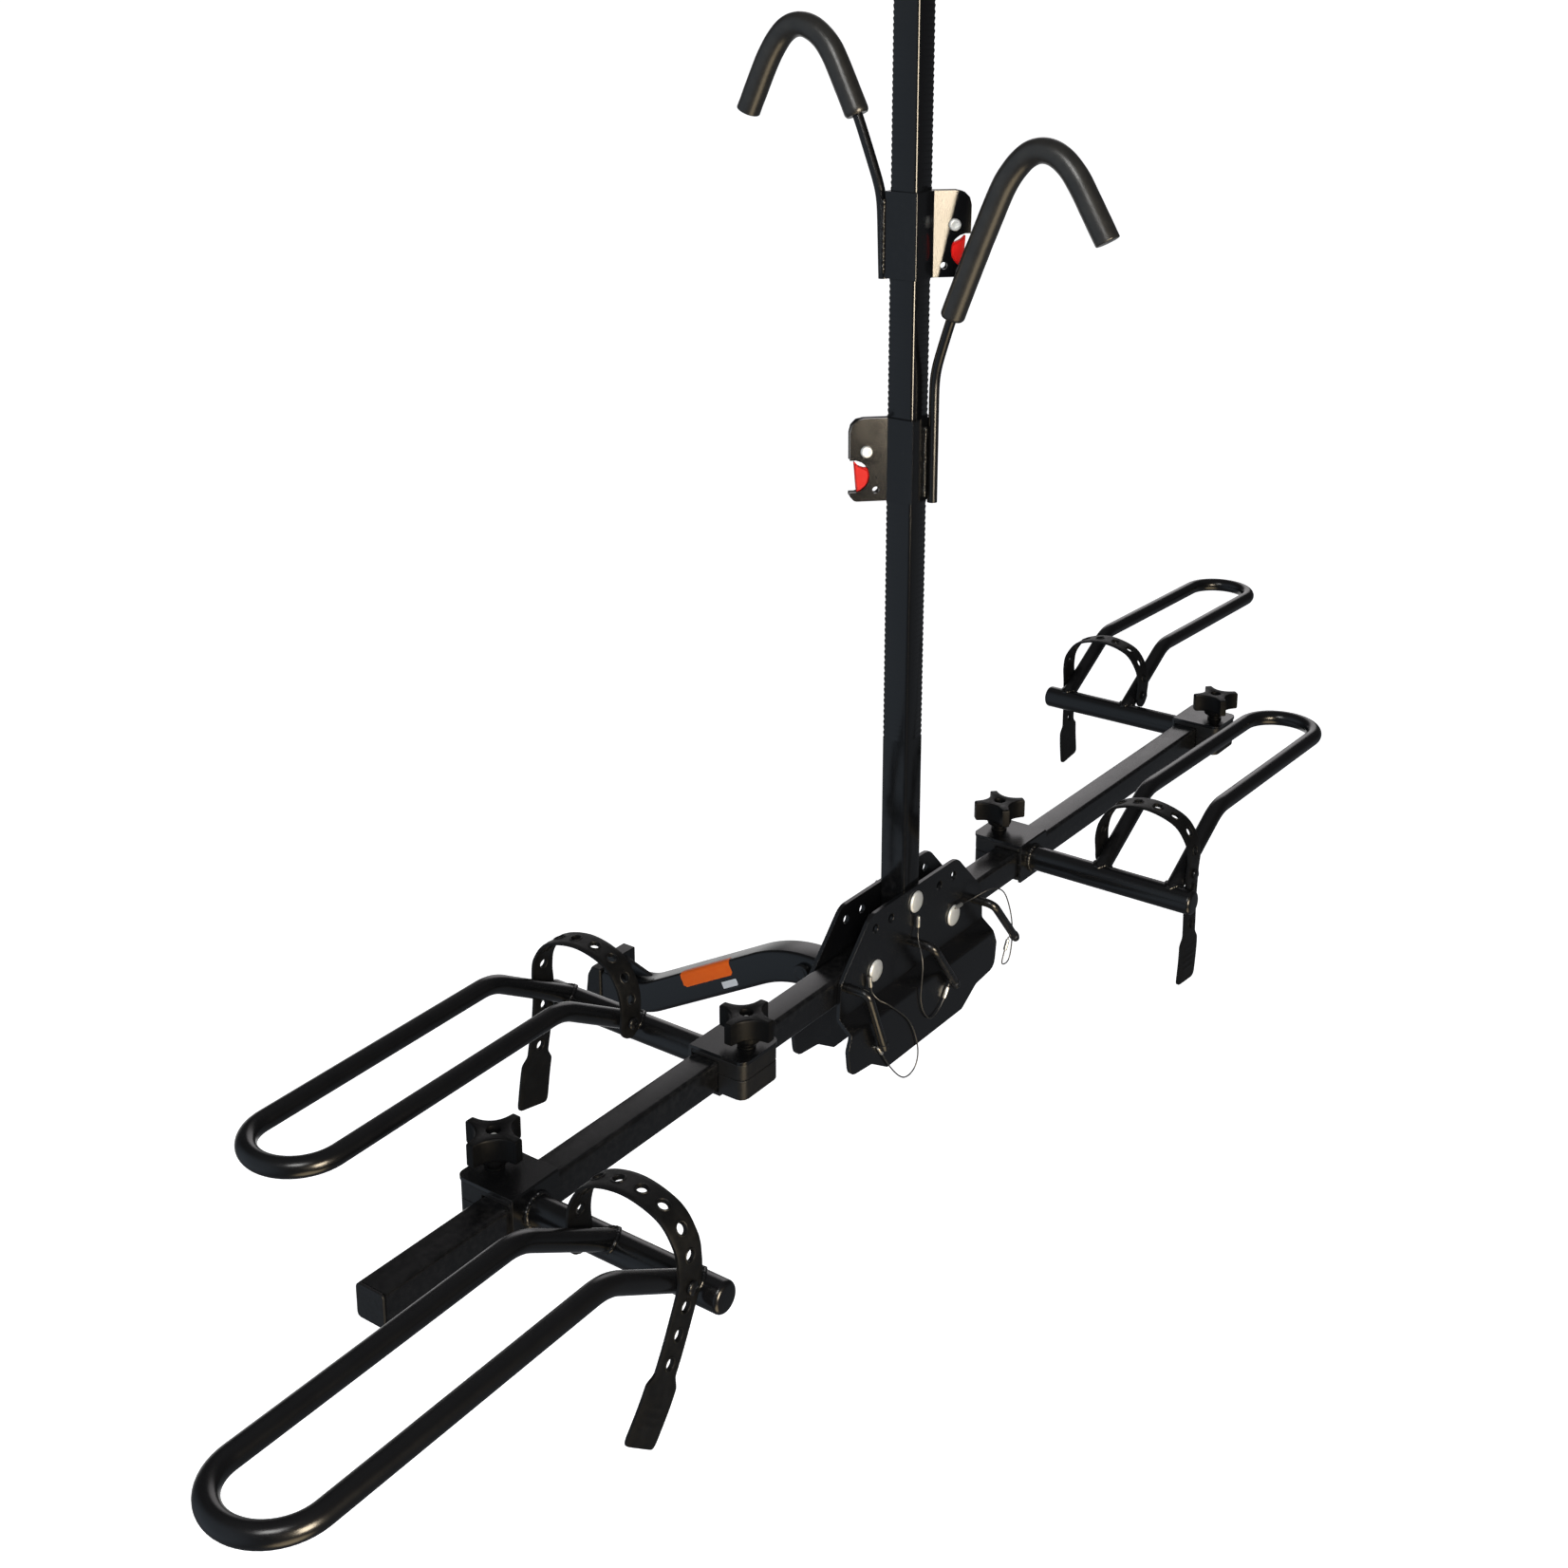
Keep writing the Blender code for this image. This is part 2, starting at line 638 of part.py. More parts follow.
def build_arm(name, side):
    """One arm, made about its hinge. side is -1 for the left arm."""
    hinge = joint_frame(f"{name}_arm_hinge", (side * PIVOT_X, 0, 0))
    near = ARM_INNER - PIVOT_X
    far = ARM_OUTER - PIVOT_X
    low, high = sorted((side * near, side * far))
    arm = tube_mesh(low, high, "x")
    holes = (
        across_plates(PIVOT_BOLT_R + GAP, ((0, 0),))
        + across_plates(PIN_HOLE_R, ((side * LOCK_REACH, 0),), 12)
    )
    place(f"{name}_arm", cut(arm, *holes), POWDER_BLACK, hinge)
    place(f"{name}_arm_cap", cap_mesh(side * far, "x"), MOULDED_BLACK, hinge)
    return hinge


# ---------------------------------------------------------------- bicycle holder

def hoop_path():
    """Centre line of the hoop: up from the rod, out, round the tip and back."""
    bend_x, bend_z = HOOP_BEND
    round_r = (LEG_FAR - LEG_NEAR) / 2
    tip_x = HOOP_REACH - round_r
    middle_y = (LEG_NEAR + LEG_FAR) / 2
    leg = filleted(
        (((0, 0, 5.7 * MM), 0), ((-bend_x, 0, bend_z), 60 * MM), ((-tip_x, 0, HOOP_TIP_Z), 0)),
        closed=False, segments=4,
    )
    near = [Vector((p.x, -LEG_NEAR, p.z)) for p in leg]
    far = [Vector((p.x, -LEG_FAR, p.z)) for p in reversed(leg)]
    turns = (math.radians(180 * k / 8) for k in range(1, 8))
    tip = [
        Vector((-tip_x - round_r * math.sin(a), -middle_y + round_r * math.cos(a), HOOP_TIP_Z)) for a in turns
    ]
    return near + tip + far


def hoop_frame_mesh():
    """Weldment: saddle over the arm, rod, hoop and the two strap studs. Rod to -Y, hoop to -X."""
    outside = HALF + GAP + CLAMP_PLATE
    inside = HALF + GAP
    under = CLAMP_TOP - CLAMP_PLATE
    saddle_outline = [
        (-outside, -22 * MM), (-inside, -22 * MM), (-inside, under),
        (CLAMP_DEPTH, under), (CLAMP_DEPTH, CLAMP_TOP), (-outside, CLAMP_TOP),
    ]
    saddle = slab([saddle_outline], -CLAMP_HALF, CLAMP_HALF, "x")
    hole = cylinder(CLAMP_BOLT_R + GAP, (0, CLAMP_BOLT_Y, 0), (0, CLAMP_BOLT_Y, 0.1), 12)
    corner = 9 * MM
    plan = filleted(flat((
        (-CLAMP_HALF, -outside, 0), (CLAMP_HALF, -outside, 0),
        (CLAMP_HALF, CLAMP_DEPTH, corner), (-CLAMP_HALF, CLAMP_DEPTH, corner),
    )))
    saddle = cut(shaped(saddle, "INTERSECT", slab([plan], -0.1, 0.1)), hole)
    edge = 5 * MM
    length = ROD_END - inside - 1 * MM
    rod_profile = [(0, length), (ROD_R - edge, length), (ROD_R - edge * 0.3, length - edge * 0.3),
                   (ROD_R, length - edge), (ROD_R, 0), (0, 0)]
    rod = turned(rod_profile, 20, axis=(0, -1, 0), base=(0, -inside - 1 * MM, 0))
    hoop = bar(hoop_path(), HOOP_R, 1)
    stud_r = 3.5 * MM
    near_face = LEG_NEAR - HOOP_R
    far_face = LEG_FAR + HOOP_R
    near_stud = cylinder(stud_r, (-STRAP_X, -near_face - 3 * MM, STUD_Z), (-STRAP_X, -near_face + 9 * MM, STUD_Z), 10)
    far_stud = cylinder(stud_r, (-STRAP_X, -far_face + 3 * MM, STUD_Z), (-STRAP_X, -far_face - 9 * MM, STUD_Z), 10)
    return smooth(welded(saddle, rod, hoop, near_stud, far_stud))


def jaw_plan():
    """Plan of the moulded jaws: round corners on the side away from the rod."""
    wide = CLAMP_HALF
    corners = (
        (-wide, -HALF, 1 * MM), (wide, -HALF, 1 * MM), (wide, JAW_DEPTH, 9 * MM), (-wide, JAW_DEPTH, 9 * MM)
    )
    return slab([filleted(flat(corners))], -0.1, 0.1)


def jaw_mesh(outline):
    body = shaped(slab([outline], -0.05, 0.05, "x"), "INTERSECT", jaw_plan())
    return cut(body, cylinder(CLAMP_BOLT_R + GAP, (0, CLAMP_BOLT_Y, -0.1), (0, CLAMP_BOLT_Y, 0.1), 12))


def upper_jaw_mesh():
    top = CLAMP_TOP - CLAMP_PLATE - GAP
    on_tube = HALF + GAP
    outline = [
        (-HALF, on_tube), (on_tube, on_tube), (on_tube, JAW_SPLIT), (JAW_DEPTH, JAW_SPLIT),
        (JAW_DEPTH, top), (-HALF, top),
    ]
    return jaw_mesh(outline)


def lower_jaw_mesh():
    under = HALF + GAP
    lip = 4 * MM
    outline = [
        (under, JAW_SPLIT - 2 * GAP), (under, -under), (-HALF, -under), (-HALF, -under - lip),
        (18 * MM, -under - lip), (18 * MM, -17 * MM), (JAW_DEPTH, -17 * MM), (JAW_DEPTH, JAW_SPLIT - 2 * GAP),
    ]
    return jaw_mesh(outline)


def clamp_bolt_mesh():
    """Bolt up through the jaws and the saddle into the knob, made about its own axis."""
    under = -17 * MM - GAP
    profile = [
        (0, 55 * MM), (CLAMP_BOLT_R - 1 * MM, 55 * MM), (CLAMP_BOLT_R, 54 * MM), (CLAMP_BOLT_R, under),
        (9 * MM, under), (9 * MM, under - 2 * MM), (6 * MM, under - 4.5 * MM), (0, under - 5 * MM),
    ]
    return smooth(turned(profile, 12))


def knob_reach(angle):
    """Radius of the knob at an angle from one of its four lobes: blunt tips and hollow sides."""
    from_hollow = abs(angle % (math.pi / 2) - math.pi / 4)
    spread = (24 * MM) ** 2 - (40 * MM * math.sin(from_hollow)) ** 2
    if spread < 0:
        return 30 * MM
    return min(30 * MM, 40 * MM * math.cos(from_hollow) - math.sqrt(spread))


def knob_mesh():
    """Four-lobed knob, its round hub and its metal insert, made about its own axis."""
    count = 48
    star = [
        Vector((knob_reach(a) * math.cos(a), knob_reach(a) * math.sin(a), 0))
        for a in (2 * math.pi * k / count for k in range(count))
    ]
    head = slab([star], KNOB_MID, KNOB_TOP)
    hub = cylinder(14 * MM, (0, 0, KNOB_LOW), (0, 0, KNOB_MID + 1 * MM), 20)
    insert = cylinder(7 * MM, (0, 0, CLAMP_TOP + GAP), (0, 0, KNOB_LOW + 1 * MM), 12)
    body = welded(head, hub, insert)
    recess = cylinder(6.5 * MM, (0, 0, KNOB_TOP - 4 * MM), (0, 0, KNOB_TOP + 4 * MM), 12)
    bore = cylinder(CLAMP_BOLT_R + GAP, (0, 0, 0), (0, 0, 0.1), 12)
    return smooth(cut(cut(body, recess), bore))


def strap_mesh():
    """Rubber strap over the cycle's top tube, from the near stud round to the hanging tail."""
    near = LEG_NEAR - HOOP_R - GAP - STRAP_THICK / 2
    far = LEG_FAR + HOOP_R + GAP + STRAP_THICK / 2
    corners = flat((
        (-near, 6 * MM, 0), (-near, 88 * MM, 30 * MM), (-(near + far) / 2, 112 * MM, 60 * MM),
        (-far, 88 * MM, 30 * MM), (-far, -50 * MM, 0),
    ))
    path = filleted(corners, closed=False, segments=4)
    half = STRAP_WIDE / 2
    strap = slab([ribbon(path, STRAP_THICK)], -STRAP_X - half, -STRAP_X + half, "x")
    paddle = box(
        (-STRAP_X - 19 * MM, -far - 2.5 * MM, -108 * MM), (-STRAP_X + 19 * MM, -far + 2.5 * MM, -46 * MM)
    )
    studs = cylinder(4 * MM, (-STRAP_X, -0.3, STUD_Z), (-STRAP_X, 0, STUD_Z), 10)
    return cut(welded(strap, paddle), studs)


def build_holders(left_arm, right_arm):
    """Four holders. Two are mirror images of the other two, and those on the right arm are turned round."""
    made = (hoop_frame_mesh(), upper_jaw_mesh(), lower_jaw_mesh(), strap_mesh())
    flipped = tuple(mirrored(mesh) for mesh in made)
    bolt = clamp_bolt_mesh()
    knob = knob_mesh()
    for name, reach, side, rod_side, knob_turn in HOLDERS:
        arm = left_arm if side < 0 else right_arm
        frame = joint_frame(f"{name}_holder_slide", (side * (reach - PIVOT_X), 0, 0), arm, 0 if side < 0 else math.pi)
        as_made = rod_side == side
        hoop, upper, lower, strap = made if as_made else flipped
        bolt_y = CLAMP_BOLT_Y if as_made else -CLAMP_BOLT_Y
        place(f"{name}_hoop_frame", hoop.copy(), POWDER_BLACK, frame)
        place(f"{name}_upper_jaw", upper.copy(), MOULDED_BLACK, frame)
        place(f"{name}_lower_jaw", lower.copy(), MOULDED_BLACK, frame)
        place(f"{name}_strap", strap.copy(), RUBBER_BLACK, frame)
        place(f"{name}_clamp_bolt", bolt.copy(), ZINC, frame, (0, bolt_y, 0))
        place(f"{name}_knob", knob.copy(), MOULDED_BLACK, frame, (0, bolt_y, 0), math.radians(knob_turn))


# ---------------------------------------------------------------- frame hooks on the mast

EAR_FACING = Matrix(((1, 0, 0, 0), (0, 0, -1, 0), (0, 1, 0, 0), (0, 0, 0, 1)))


def sleeve_mesh():
    """Split sleeve round the mast, with a two-sheet ear. Made with its ear along +X."""
    slot = EAR_SLOT / 2
    sheet = slot + EAR_SHEET
    inner = SLEEVE_INSIDE * math.sqrt(2)
    outer = SLEEVE_OUTSIDE * math.sqrt(2)
    rounding = 3 * MM
    plan = flat((
        (EAR_REACH, slot, 0), (EAR_REACH, sheet, 0), (outer - sheet, sheet, 0), (0, outer, rounding),
        (-outer, 0, rounding), (0, -outer, rounding), (outer - sheet, -sheet, 0), (EAR_REACH, -sheet, 0),
        (EAR_REACH, -slot, 0), (inner - slot, -slot, 0), (0, -inner, 0), (-inner, 0, 0), (0, inner, 0),
        (inner - slot, slot, 0),
    ))
    body = slab([filleted(plan, segments=2)], -SLEEVE_HALF, SLEEVE_HALF)
    notch_u, notch_z = NOTCH_CENTRE
    angles = [math.radians(281 - 202 * k / 10) for k in range(11)]
    notch = [(notch_u + NOTCH_R * math.cos(a), notch_z + NOTCH_R * math.sin(a), 0) for a in angles]
    side = filleted(flat((
        (-50 * MM, -SLEEVE_HALF, 0), (55 * MM, -SLEEVE_HALF, 6 * MM), (EAR_REACH, -37 * MM, 2 * MM),
        *notch, (EAR_REACH, SLEEVE_HALF, 14.5 * MM), (-50 * MM, SLEEVE_HALF, 0),
    )))
    profile = slab([side], -0.05, 0.05, "y")
    pivot_u, pivot_z = LEVER_PIVOT
    hole = cylinder(3 * MM + GAP, (pivot_u, -0.05, pivot_z), (pivot_u, 0.05, pivot_z), 12)
    lower_u, lower_z = EAR_HOLE
    lower_hole = cylinder(3.6 * MM, (lower_u, -0.05, lower_z), (lower_u, 0.05, lower_z), 16)
    return cut(shaped(body, "INTERSECT", profile), hole, lower_hole)


def lever_mesh():
    """Release lever between the ear's sheets, made about its pivot: pawl to -X, finger pad in the notch."""
    half = EAR_SLOT / 2 - GAP
    pivot_u, pivot_z = LEVER_PIVOT
    outline = filleted(flat([(u * MM - pivot_u, z * MM - pivot_z, r * MM) for u, z, r in (
        (36, 17, 7), (50, 17, 7), (50, 5, 3), (41, -4, 2), (42, -9.5, 2), (50.5, -6.5, 1), (55.4, -0.8, 0.6),
        (52.2, -33, 1.2), (44, -35, 4), (36, -22, 3), (22.5, -15, 1), (22.5, -7, 1),
    )]), segments=2)
    blade = slab([outline], -half, half, "y")
    hole = cylinder(3 * MM + GAP, (0, -0.05, 0), (0, 0.05, 0), 12)
    return cut(blade, hole)


def lever_bolt_mesh():
    """Rivet through the ear, made about the lever's pivot."""
    reach = EAR_SLOT / 2 + EAR_SHEET + GAP
    head_r = 6.2 * MM
    head = 3.5 * MM
    shank = 3 * MM
    profile = [
        (0, reach + head), (head_r * 0.7, reach + head * 0.85), (head_r, reach + head * 0.3), (head_r, reach),
        (shank, reach), (shank, -reach), (head_r, -reach), (head_r * 0.7, -reach - head * 0.7), (0, -reach - head),
    ]
    return smooth(turned(profile, 12, axis=(0, 1, 0)))


def hook_rod_path(points, side):
    corners = [((0, side * y * MM, z * MM), 22 * MM) for y, z in points]
    return filleted(corners, closed=False, segments=2)


def foam_mesh(path, start):
    """Foam sleeve over the rod's end: closed past the tip, open where the rod goes in."""
    covered = path[start:]
    tip = (covered[-1] - covered[-2]).normalized()
    outer_path = [*covered, covered[-1] + tip * 3 * MM]
    foam = bar(outer_path, FOAM_R, 1)
    back = (covered[0] - covered[1]).normalized()
    bore_path = [covered[0] + back * 5 * MM, *covered, covered[-1] + tip * GAP]
    return smooth(cut(foam, bar(bore_path, HOOK_ROD_R + GAP, 1)))


def build_hook(name, height, rod_x, rod_side, ear_angle, points, foam_start, mast):
    """One hook assembly that slides on the mast."""
    frame = joint_frame(f"{name}_hook_slide", (0, 0, height - MAST_PIVOT_Z), mast)
    place(f"{name}_sleeve", turned_about_z(sleeve_mesh(), ear_angle), POWDER_BLACK, frame)
    path = hook_rod_path(points, rod_side)
    place(f"{name}_hook_rod", smooth(bar(path, HOOK_ROD_R, 1)), POWDER_BLACK, frame, (rod_x, 0, 0))
    place(f"{name}_foam_grip", foam_mesh(path, foam_start), FOAM_BLACK, frame, (rod_x, 0, 0))
    pivot_u, pivot_z = LEVER_PIVOT
    pivot = (pivot_u * math.cos(ear_angle), pivot_u * math.sin(ear_angle), pivot_z)
    lever_frame = joint_frame(f"{name}_lever_hinge", pivot, frame, ear_angle)
    place(f"{name}_release_lever", lever_mesh(), LEVER_RED, lever_frame)
    place(f"{name}_lever_bolt", lever_bolt_mesh(), ZINC, lever_frame)


clear_scene()
parts = new_collection("hitch_bike_rack")
cutters = new_collection("cutters")
rack = bpy.data.objects.new("rack", None)
parts.objects.link(rack)
rack.location = RACK_ORIGIN
bracket = joint_frame("bracket")
build_bracket()
build_pivots()
build_pins()
mast_hinge = build_mast()
left_hinge = build_arm("left", -1)
right_hinge = build_arm("right", 1)
build_holders(left_hinge, right_hinge)
build_hook(
    "lower", LOWER_HOOK_Z, HOOK_ROD_X, -1, math.radians(135), LOWER_HOOK_PATH, 4, mast_hinge
)
build_hook(
    "upper", UPPER_HOOK_Z, -HOOK_ROD_X, 1, math.radians(-45), UPPER_HOOK_PATH, 4, mast_hinge
)
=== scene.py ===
import math

import bmesh
import bpy
from mathutils import Matrix, Vector, noise


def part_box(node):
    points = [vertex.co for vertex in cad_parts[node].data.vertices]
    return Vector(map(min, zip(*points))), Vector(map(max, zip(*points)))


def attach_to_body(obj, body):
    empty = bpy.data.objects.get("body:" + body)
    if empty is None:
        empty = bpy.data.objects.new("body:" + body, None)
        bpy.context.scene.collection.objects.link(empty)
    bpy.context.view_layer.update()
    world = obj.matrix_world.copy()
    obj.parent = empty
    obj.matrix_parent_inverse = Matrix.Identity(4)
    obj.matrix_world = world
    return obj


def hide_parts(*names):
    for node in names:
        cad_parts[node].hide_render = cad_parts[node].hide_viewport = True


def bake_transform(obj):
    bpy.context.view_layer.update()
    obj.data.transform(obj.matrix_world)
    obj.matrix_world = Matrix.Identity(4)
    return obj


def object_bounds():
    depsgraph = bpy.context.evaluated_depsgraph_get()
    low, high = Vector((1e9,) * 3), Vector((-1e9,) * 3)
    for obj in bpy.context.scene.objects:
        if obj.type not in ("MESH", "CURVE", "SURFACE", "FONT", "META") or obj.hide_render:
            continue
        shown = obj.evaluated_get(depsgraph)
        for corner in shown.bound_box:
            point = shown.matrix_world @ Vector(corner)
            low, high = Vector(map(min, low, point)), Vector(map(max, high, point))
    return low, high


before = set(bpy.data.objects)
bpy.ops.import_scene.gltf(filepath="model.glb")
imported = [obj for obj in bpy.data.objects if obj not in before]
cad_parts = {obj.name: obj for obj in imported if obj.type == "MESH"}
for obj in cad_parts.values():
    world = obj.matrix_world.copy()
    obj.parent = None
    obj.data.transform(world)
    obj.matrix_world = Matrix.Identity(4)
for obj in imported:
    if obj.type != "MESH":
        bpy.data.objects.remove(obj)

CAD_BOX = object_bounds()
MM = 0.001


def frame_box(node):
    return [Vector(corner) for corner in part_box(node)]


def pivot_row():
    """The point on the mast's axis at the arms' height. Everything below is laid out from it."""
    mast = frame_box("mast_tube")
    arm = frame_box("left_arm")
    middle = (mast[0] + mast[1]) / 2
    return Vector((middle.x, middle.y, (arm[0].z + arm[1].z) / 2))


SHIFT = pivot_row()


def box(node):
    """Two corners of a CAD node's box, measured from the pivot row."""
    low, high = frame_box(node)
    return low - SHIFT, high - SHIFT


def centre(node):
    low, high = box(node)
    return (low + high) / 2


def circle(count):
    """Angles of a count of points round a circle."""
    return [2 * math.pi * k / count for k in range(count)]


# Sizes shared by several pieces. Sections and holes follow the CAD.
TUBE_HALF = 15.875 * MM
TUBE_WALL = 2.5 * MM
TUBE_CORNER = 4.2 * MM
TUBE_HOLE_R = 6.2 * MM
LOCK_REACH = 48 * MM
HITCH_HALF = 19.05 * MM
HITCH_CORNER = 5.5 * MM
TOOTH_PITCH = 6 * MM
TOOTH_DEPTH = 1.0 * MM
ROD_R = 14.3 * MM
HOOP_R = 9.5 * MM
HOOP_Z = 62 * MM
HOOP_TIP = 441 * MM
LEG_NEAR = 106 * MM
LEG_FAR = 196.5 * MM
LEG_FOOT_Z = 5.7 * MM
STRAP_X = -28 * MM
STRAP_HALF = 14.5 * MM
STRAP_THICK = 1.75 * MM
STRAP_HOLE_R = 4.7 * MM
STRAP_PITCH = 22.5 * MM
PADDLE_HALF = 21.5 * MM
PADDLE_LONG = 48 * MM
STUD_Z = 21.4 * MM
HOOK_ROD_R = 5.25 * MM
FOAM_R = 12.5 * MM
PIN_R = 4.75 * MM
CREASE = math.radians(38)


# ---- materials

class Tree:
    """Short ways to add nodes to the node tree of a material or a world."""

    def __init__(self, owner):
        owner.use_nodes = True
        self.tree = owner.node_tree

    def add(self, kind, **values):
        node = self.tree.nodes.new(kind)
        for key, value in values.items():
            setattr(node, key, value)
        return node

    def link(self, source, target):
        self.tree.links.new(source, target)


class Nodes(Tree):
    """A material's nodes round its one shader."""

    def __init__(self, name):
        self.material = bpy.data.materials.new(name)
        super().__init__(self.material)
        self.shader = self.tree.nodes["Principled BSDF"]
        self.coords = self.add("ShaderNodeTexCoord").outputs["Object"]

    def noise(self, scale, detail=3.0, stretch=(1, 1, 1), rough=0.5):
        mapping = self.add("ShaderNodeMapping")
        mapping.inputs["Scale"].default_value = stretch
        self.link(self.coords, mapping.inputs["Vector"])
        node = self.add("ShaderNodeTexNoise")
        node.inputs["Scale"].default_value = scale
        node.inputs["Detail"].default_value = detail
        node.inputs["Roughness"].default_value = rough
        self.link(mapping.outputs["Vector"], node.inputs["Vector"])
        return node.outputs["Fac"]

    def spread(self, source, low, high, start=0.3, end=0.7):
        node = self.add("ShaderNodeMapRange")
        node.inputs["From Min"].default_value = start
        node.inputs["From Max"].default_value = end
        node.inputs["To Min"].default_value = low
        node.inputs["To Max"].default_value = high
        self.link(source, node.inputs["Value"])
        return node.outputs["Result"]

    def blend_colours(self, factor, one, other):
        node = self.add("ShaderNodeMix", data_type="RGBA")
        node.inputs["A"].default_value = (*one, 1.0)
        node.inputs["B"].default_value = (*other, 1.0)
        self.link(factor, node.inputs["Factor"])
        return node.outputs["Result"]

    def bump(self, height, strength, distance, under=None):
        node = self.add("ShaderNodeBump")
        node.inputs["Strength"].default_value = strength
        node.inputs["Distance"].default_value = distance
        self.link(height, node.inputs["Height"])
        if under:
            self.link(under, node.inputs["Normal"])
        return node.outputs["Normal"]

    def edge_wear(self, low, high):
        """1 along the piece's outer edges, 0 on its flats, broken up by noise."""
        geometry = self.add("ShaderNodeNewGeometry")
        edge = self.spread(geometry.outputs["Pointiness"], 0.0, 1.0, low, high)
        broken = self.spread(self.noise(160, 4), 0.0, 1.0, 0.42, 0.62)
        product = self.add("ShaderNodeMath", operation="MULTIPLY")
        self.link(edge, product.inputs[0])
        self.link(broken, product.inputs[1])
        return product.outputs["Value"]

    def finish(self, colour, roughness, normal, metallic=0.0, specular=0.5, coat=0.0):
        shader = self.shader.inputs
        self.link(colour, shader["Base Color"])
        self.link(roughness, shader["Roughness"])
        self.link(normal, shader["Normal"])
        shader["Metallic"].default_value = metallic
        shader["Specular IOR Level"].default_value = specular
        shader["Coat Weight"].default_value = coat
        shader["Coat Roughness"].default_value = 0.25
        return self.material


def powder_coat(name, roughness):
    """Satin black powder coat: fine orange peel, a breath of dust on it and slightly rubbed edges."""
    n = Nodes(name)
    dust = n.spread(n.noise(26, 5), 0.0, 0.2, 0.4, 0.8)
    colour = n.blend_colours(dust, (0.0042, 0.0043, 0.0047), (0.010, 0.0098, 0.0095))
    worn = n.add("ShaderNodeMix", data_type="RGBA")
    worn.inputs["B"].default_value = (0.016, 0.0155, 0.015, 1.0)
    n.link(colour, worn.inputs["A"])
    n.link(n.edge_wear(0.54, 0.66), worn.inputs["Factor"])
    rough = n.spread(n.noise(45, 3), roughness - 0.02, roughness + 0.03)
    peel = n.bump(n.noise(700, 2), 0.09, 0.0003)
    normal = n.bump(n.noise(2400, 1), 0.05, 0.0002, peel)
    return n.finish(worn.outputs["Result"], rough, normal, specular=0.44, coat=0.08)


def moulded_plastic(name, shade, specular):
    """Black moulded plastic with a spark-eroded grain."""
    n = Nodes(name)
    colour = n.blend_colours(n.noise(60, 4), (shade, shade, shade * 1.08), (shade * 2.2,) * 3)
    grain = n.add("ShaderNodeTexVoronoi")
    grain.inputs["Scale"].default_value = 1500
    n.link(n.coords, grain.inputs["Vector"])
    normal = n.bump(grain.outputs["Distance"], 0.2, 0.0003)
    return n.finish(colour, n.spread(n.noise(240, 3), 0.40, 0.54), normal, specular=specular)


def strap_rubber():
    """Black rubber with bloom and fine pores."""
    n = Nodes("strap_rubber")
    bloom = n.spread(n.noise(70, 5), 0.0, 1.0, 0.45, 0.8)
    colour = n.blend_colours(bloom, (0.0036, 0.0036, 0.0037), (0.009, 0.009, 0.0088))
    normal = n.bump(n.noise(1700, 2), 0.25, 0.0003)
    return n.finish(colour, n.spread(n.noise(180, 3), 0.40, 0.52), normal, specular=0.22)


def foam_skin():
    """Smooth satin skin over foam: shallow dimples and tiny pores."""
    n = Nodes("foam_skin")
    mottled = n.spread(n.noise(60, 5, rough=0.6), 0.0, 1.0, 0.35, 0.75)
    colour = n.blend_colours(mottled, (0.017, 0.0160, 0.0145), (0.027, 0.0250, 0.0215))
    cells = n.add("ShaderNodeTexVoronoi", feature="SMOOTH_F1")
    cells.inputs["Scale"].default_value = 1300
    n.link(n.coords, cells.inputs["Vector"])
    pores = n.bump(cells.outputs["Distance"], 0.16, 0.0003)
    normal = n.bump(n.noise(90, 2), 0.12, 0.0008, pores)
    material = n.finish(colour, n.spread(n.noise(300, 2), 0.28, 0.36), normal, specular=0.55)
    n.shader.inputs["Sheen Weight"].default_value = 0.04
    n.shader.inputs["Sheen Roughness"].default_value = 0.4
    return material


def two_tone(name, tones, tone_noise, gloss, gloss_noise, relief, relief_noise, **finish):
    """Two tones mixed by noise, an uneven roughness and a fine relief."""
    n = Nodes(name)
    colour = n.blend_colours(n.noise(*tone_noise), *tones)
    rough = n.spread(n.noise(*gloss_noise), *gloss)
    return n.finish(colour, rough, n.bump(n.noise(*relief_noise), *relief), **finish)


def blank_sticker(name, *tones):
    """Plain coated paper."""
    return two_tone(name, tones, (110, 4), (0.40, 0.55), (400, 3), (0.1, 0.0003), (500, 3), specular=0.3)


DRAWN_LINES = (700, 2, (1, 9, 1))
STRANDS = (1800, 2, (1, 1, 0.4))

POWDER = powder_coat("powder_coat", 0.24)
GLOSSY_POWDER = powder_coat("glossy_powder_coat", 0.11)
MOULDED = moulded_plastic("moulded_plastic", 0.0042, 0.36)
KNOB_PLASTIC = moulded_plastic("knob_plastic", 0.0018, 0.14)
RUBBER = strap_rubber()
FOAM = foam_skin()
ZINC = two_tone(
    "zinc_plate", ((0.78, 0.78, 0.73), (0.90, 0.90, 0.86)), (220, 4),
    (0.36, 0.52), DRAWN_LINES, (0.10, 0.0002), DRAWN_LINES, metallic=0.40,
)
VINYL = two_tone(
    "dipped_vinyl", ((0.0045, 0.0045, 0.005), (0.009, 0.009, 0.009)), (90, 3),
    (0.22, 0.34), (150, 3), (0.2, 0.0005), (240, 2),
)
RED = two_tone(
    "red_plastic", ((0.74, 0.012, 0.010), (0.84, 0.020, 0.016)), (130, 4),
    (0.34, 0.48), (300, 3), (0.15, 0.0002), (1300, 2), specular=0.10,
)
WIRE = two_tone(
    "twisted_steel", ((0.05, 0.05, 0.052), (0.14, 0.14, 0.14)), (500, 3),
    (0.32, 0.48), STRANDS, (0.4, 0.0003), STRANDS, metallic=0.9,
)
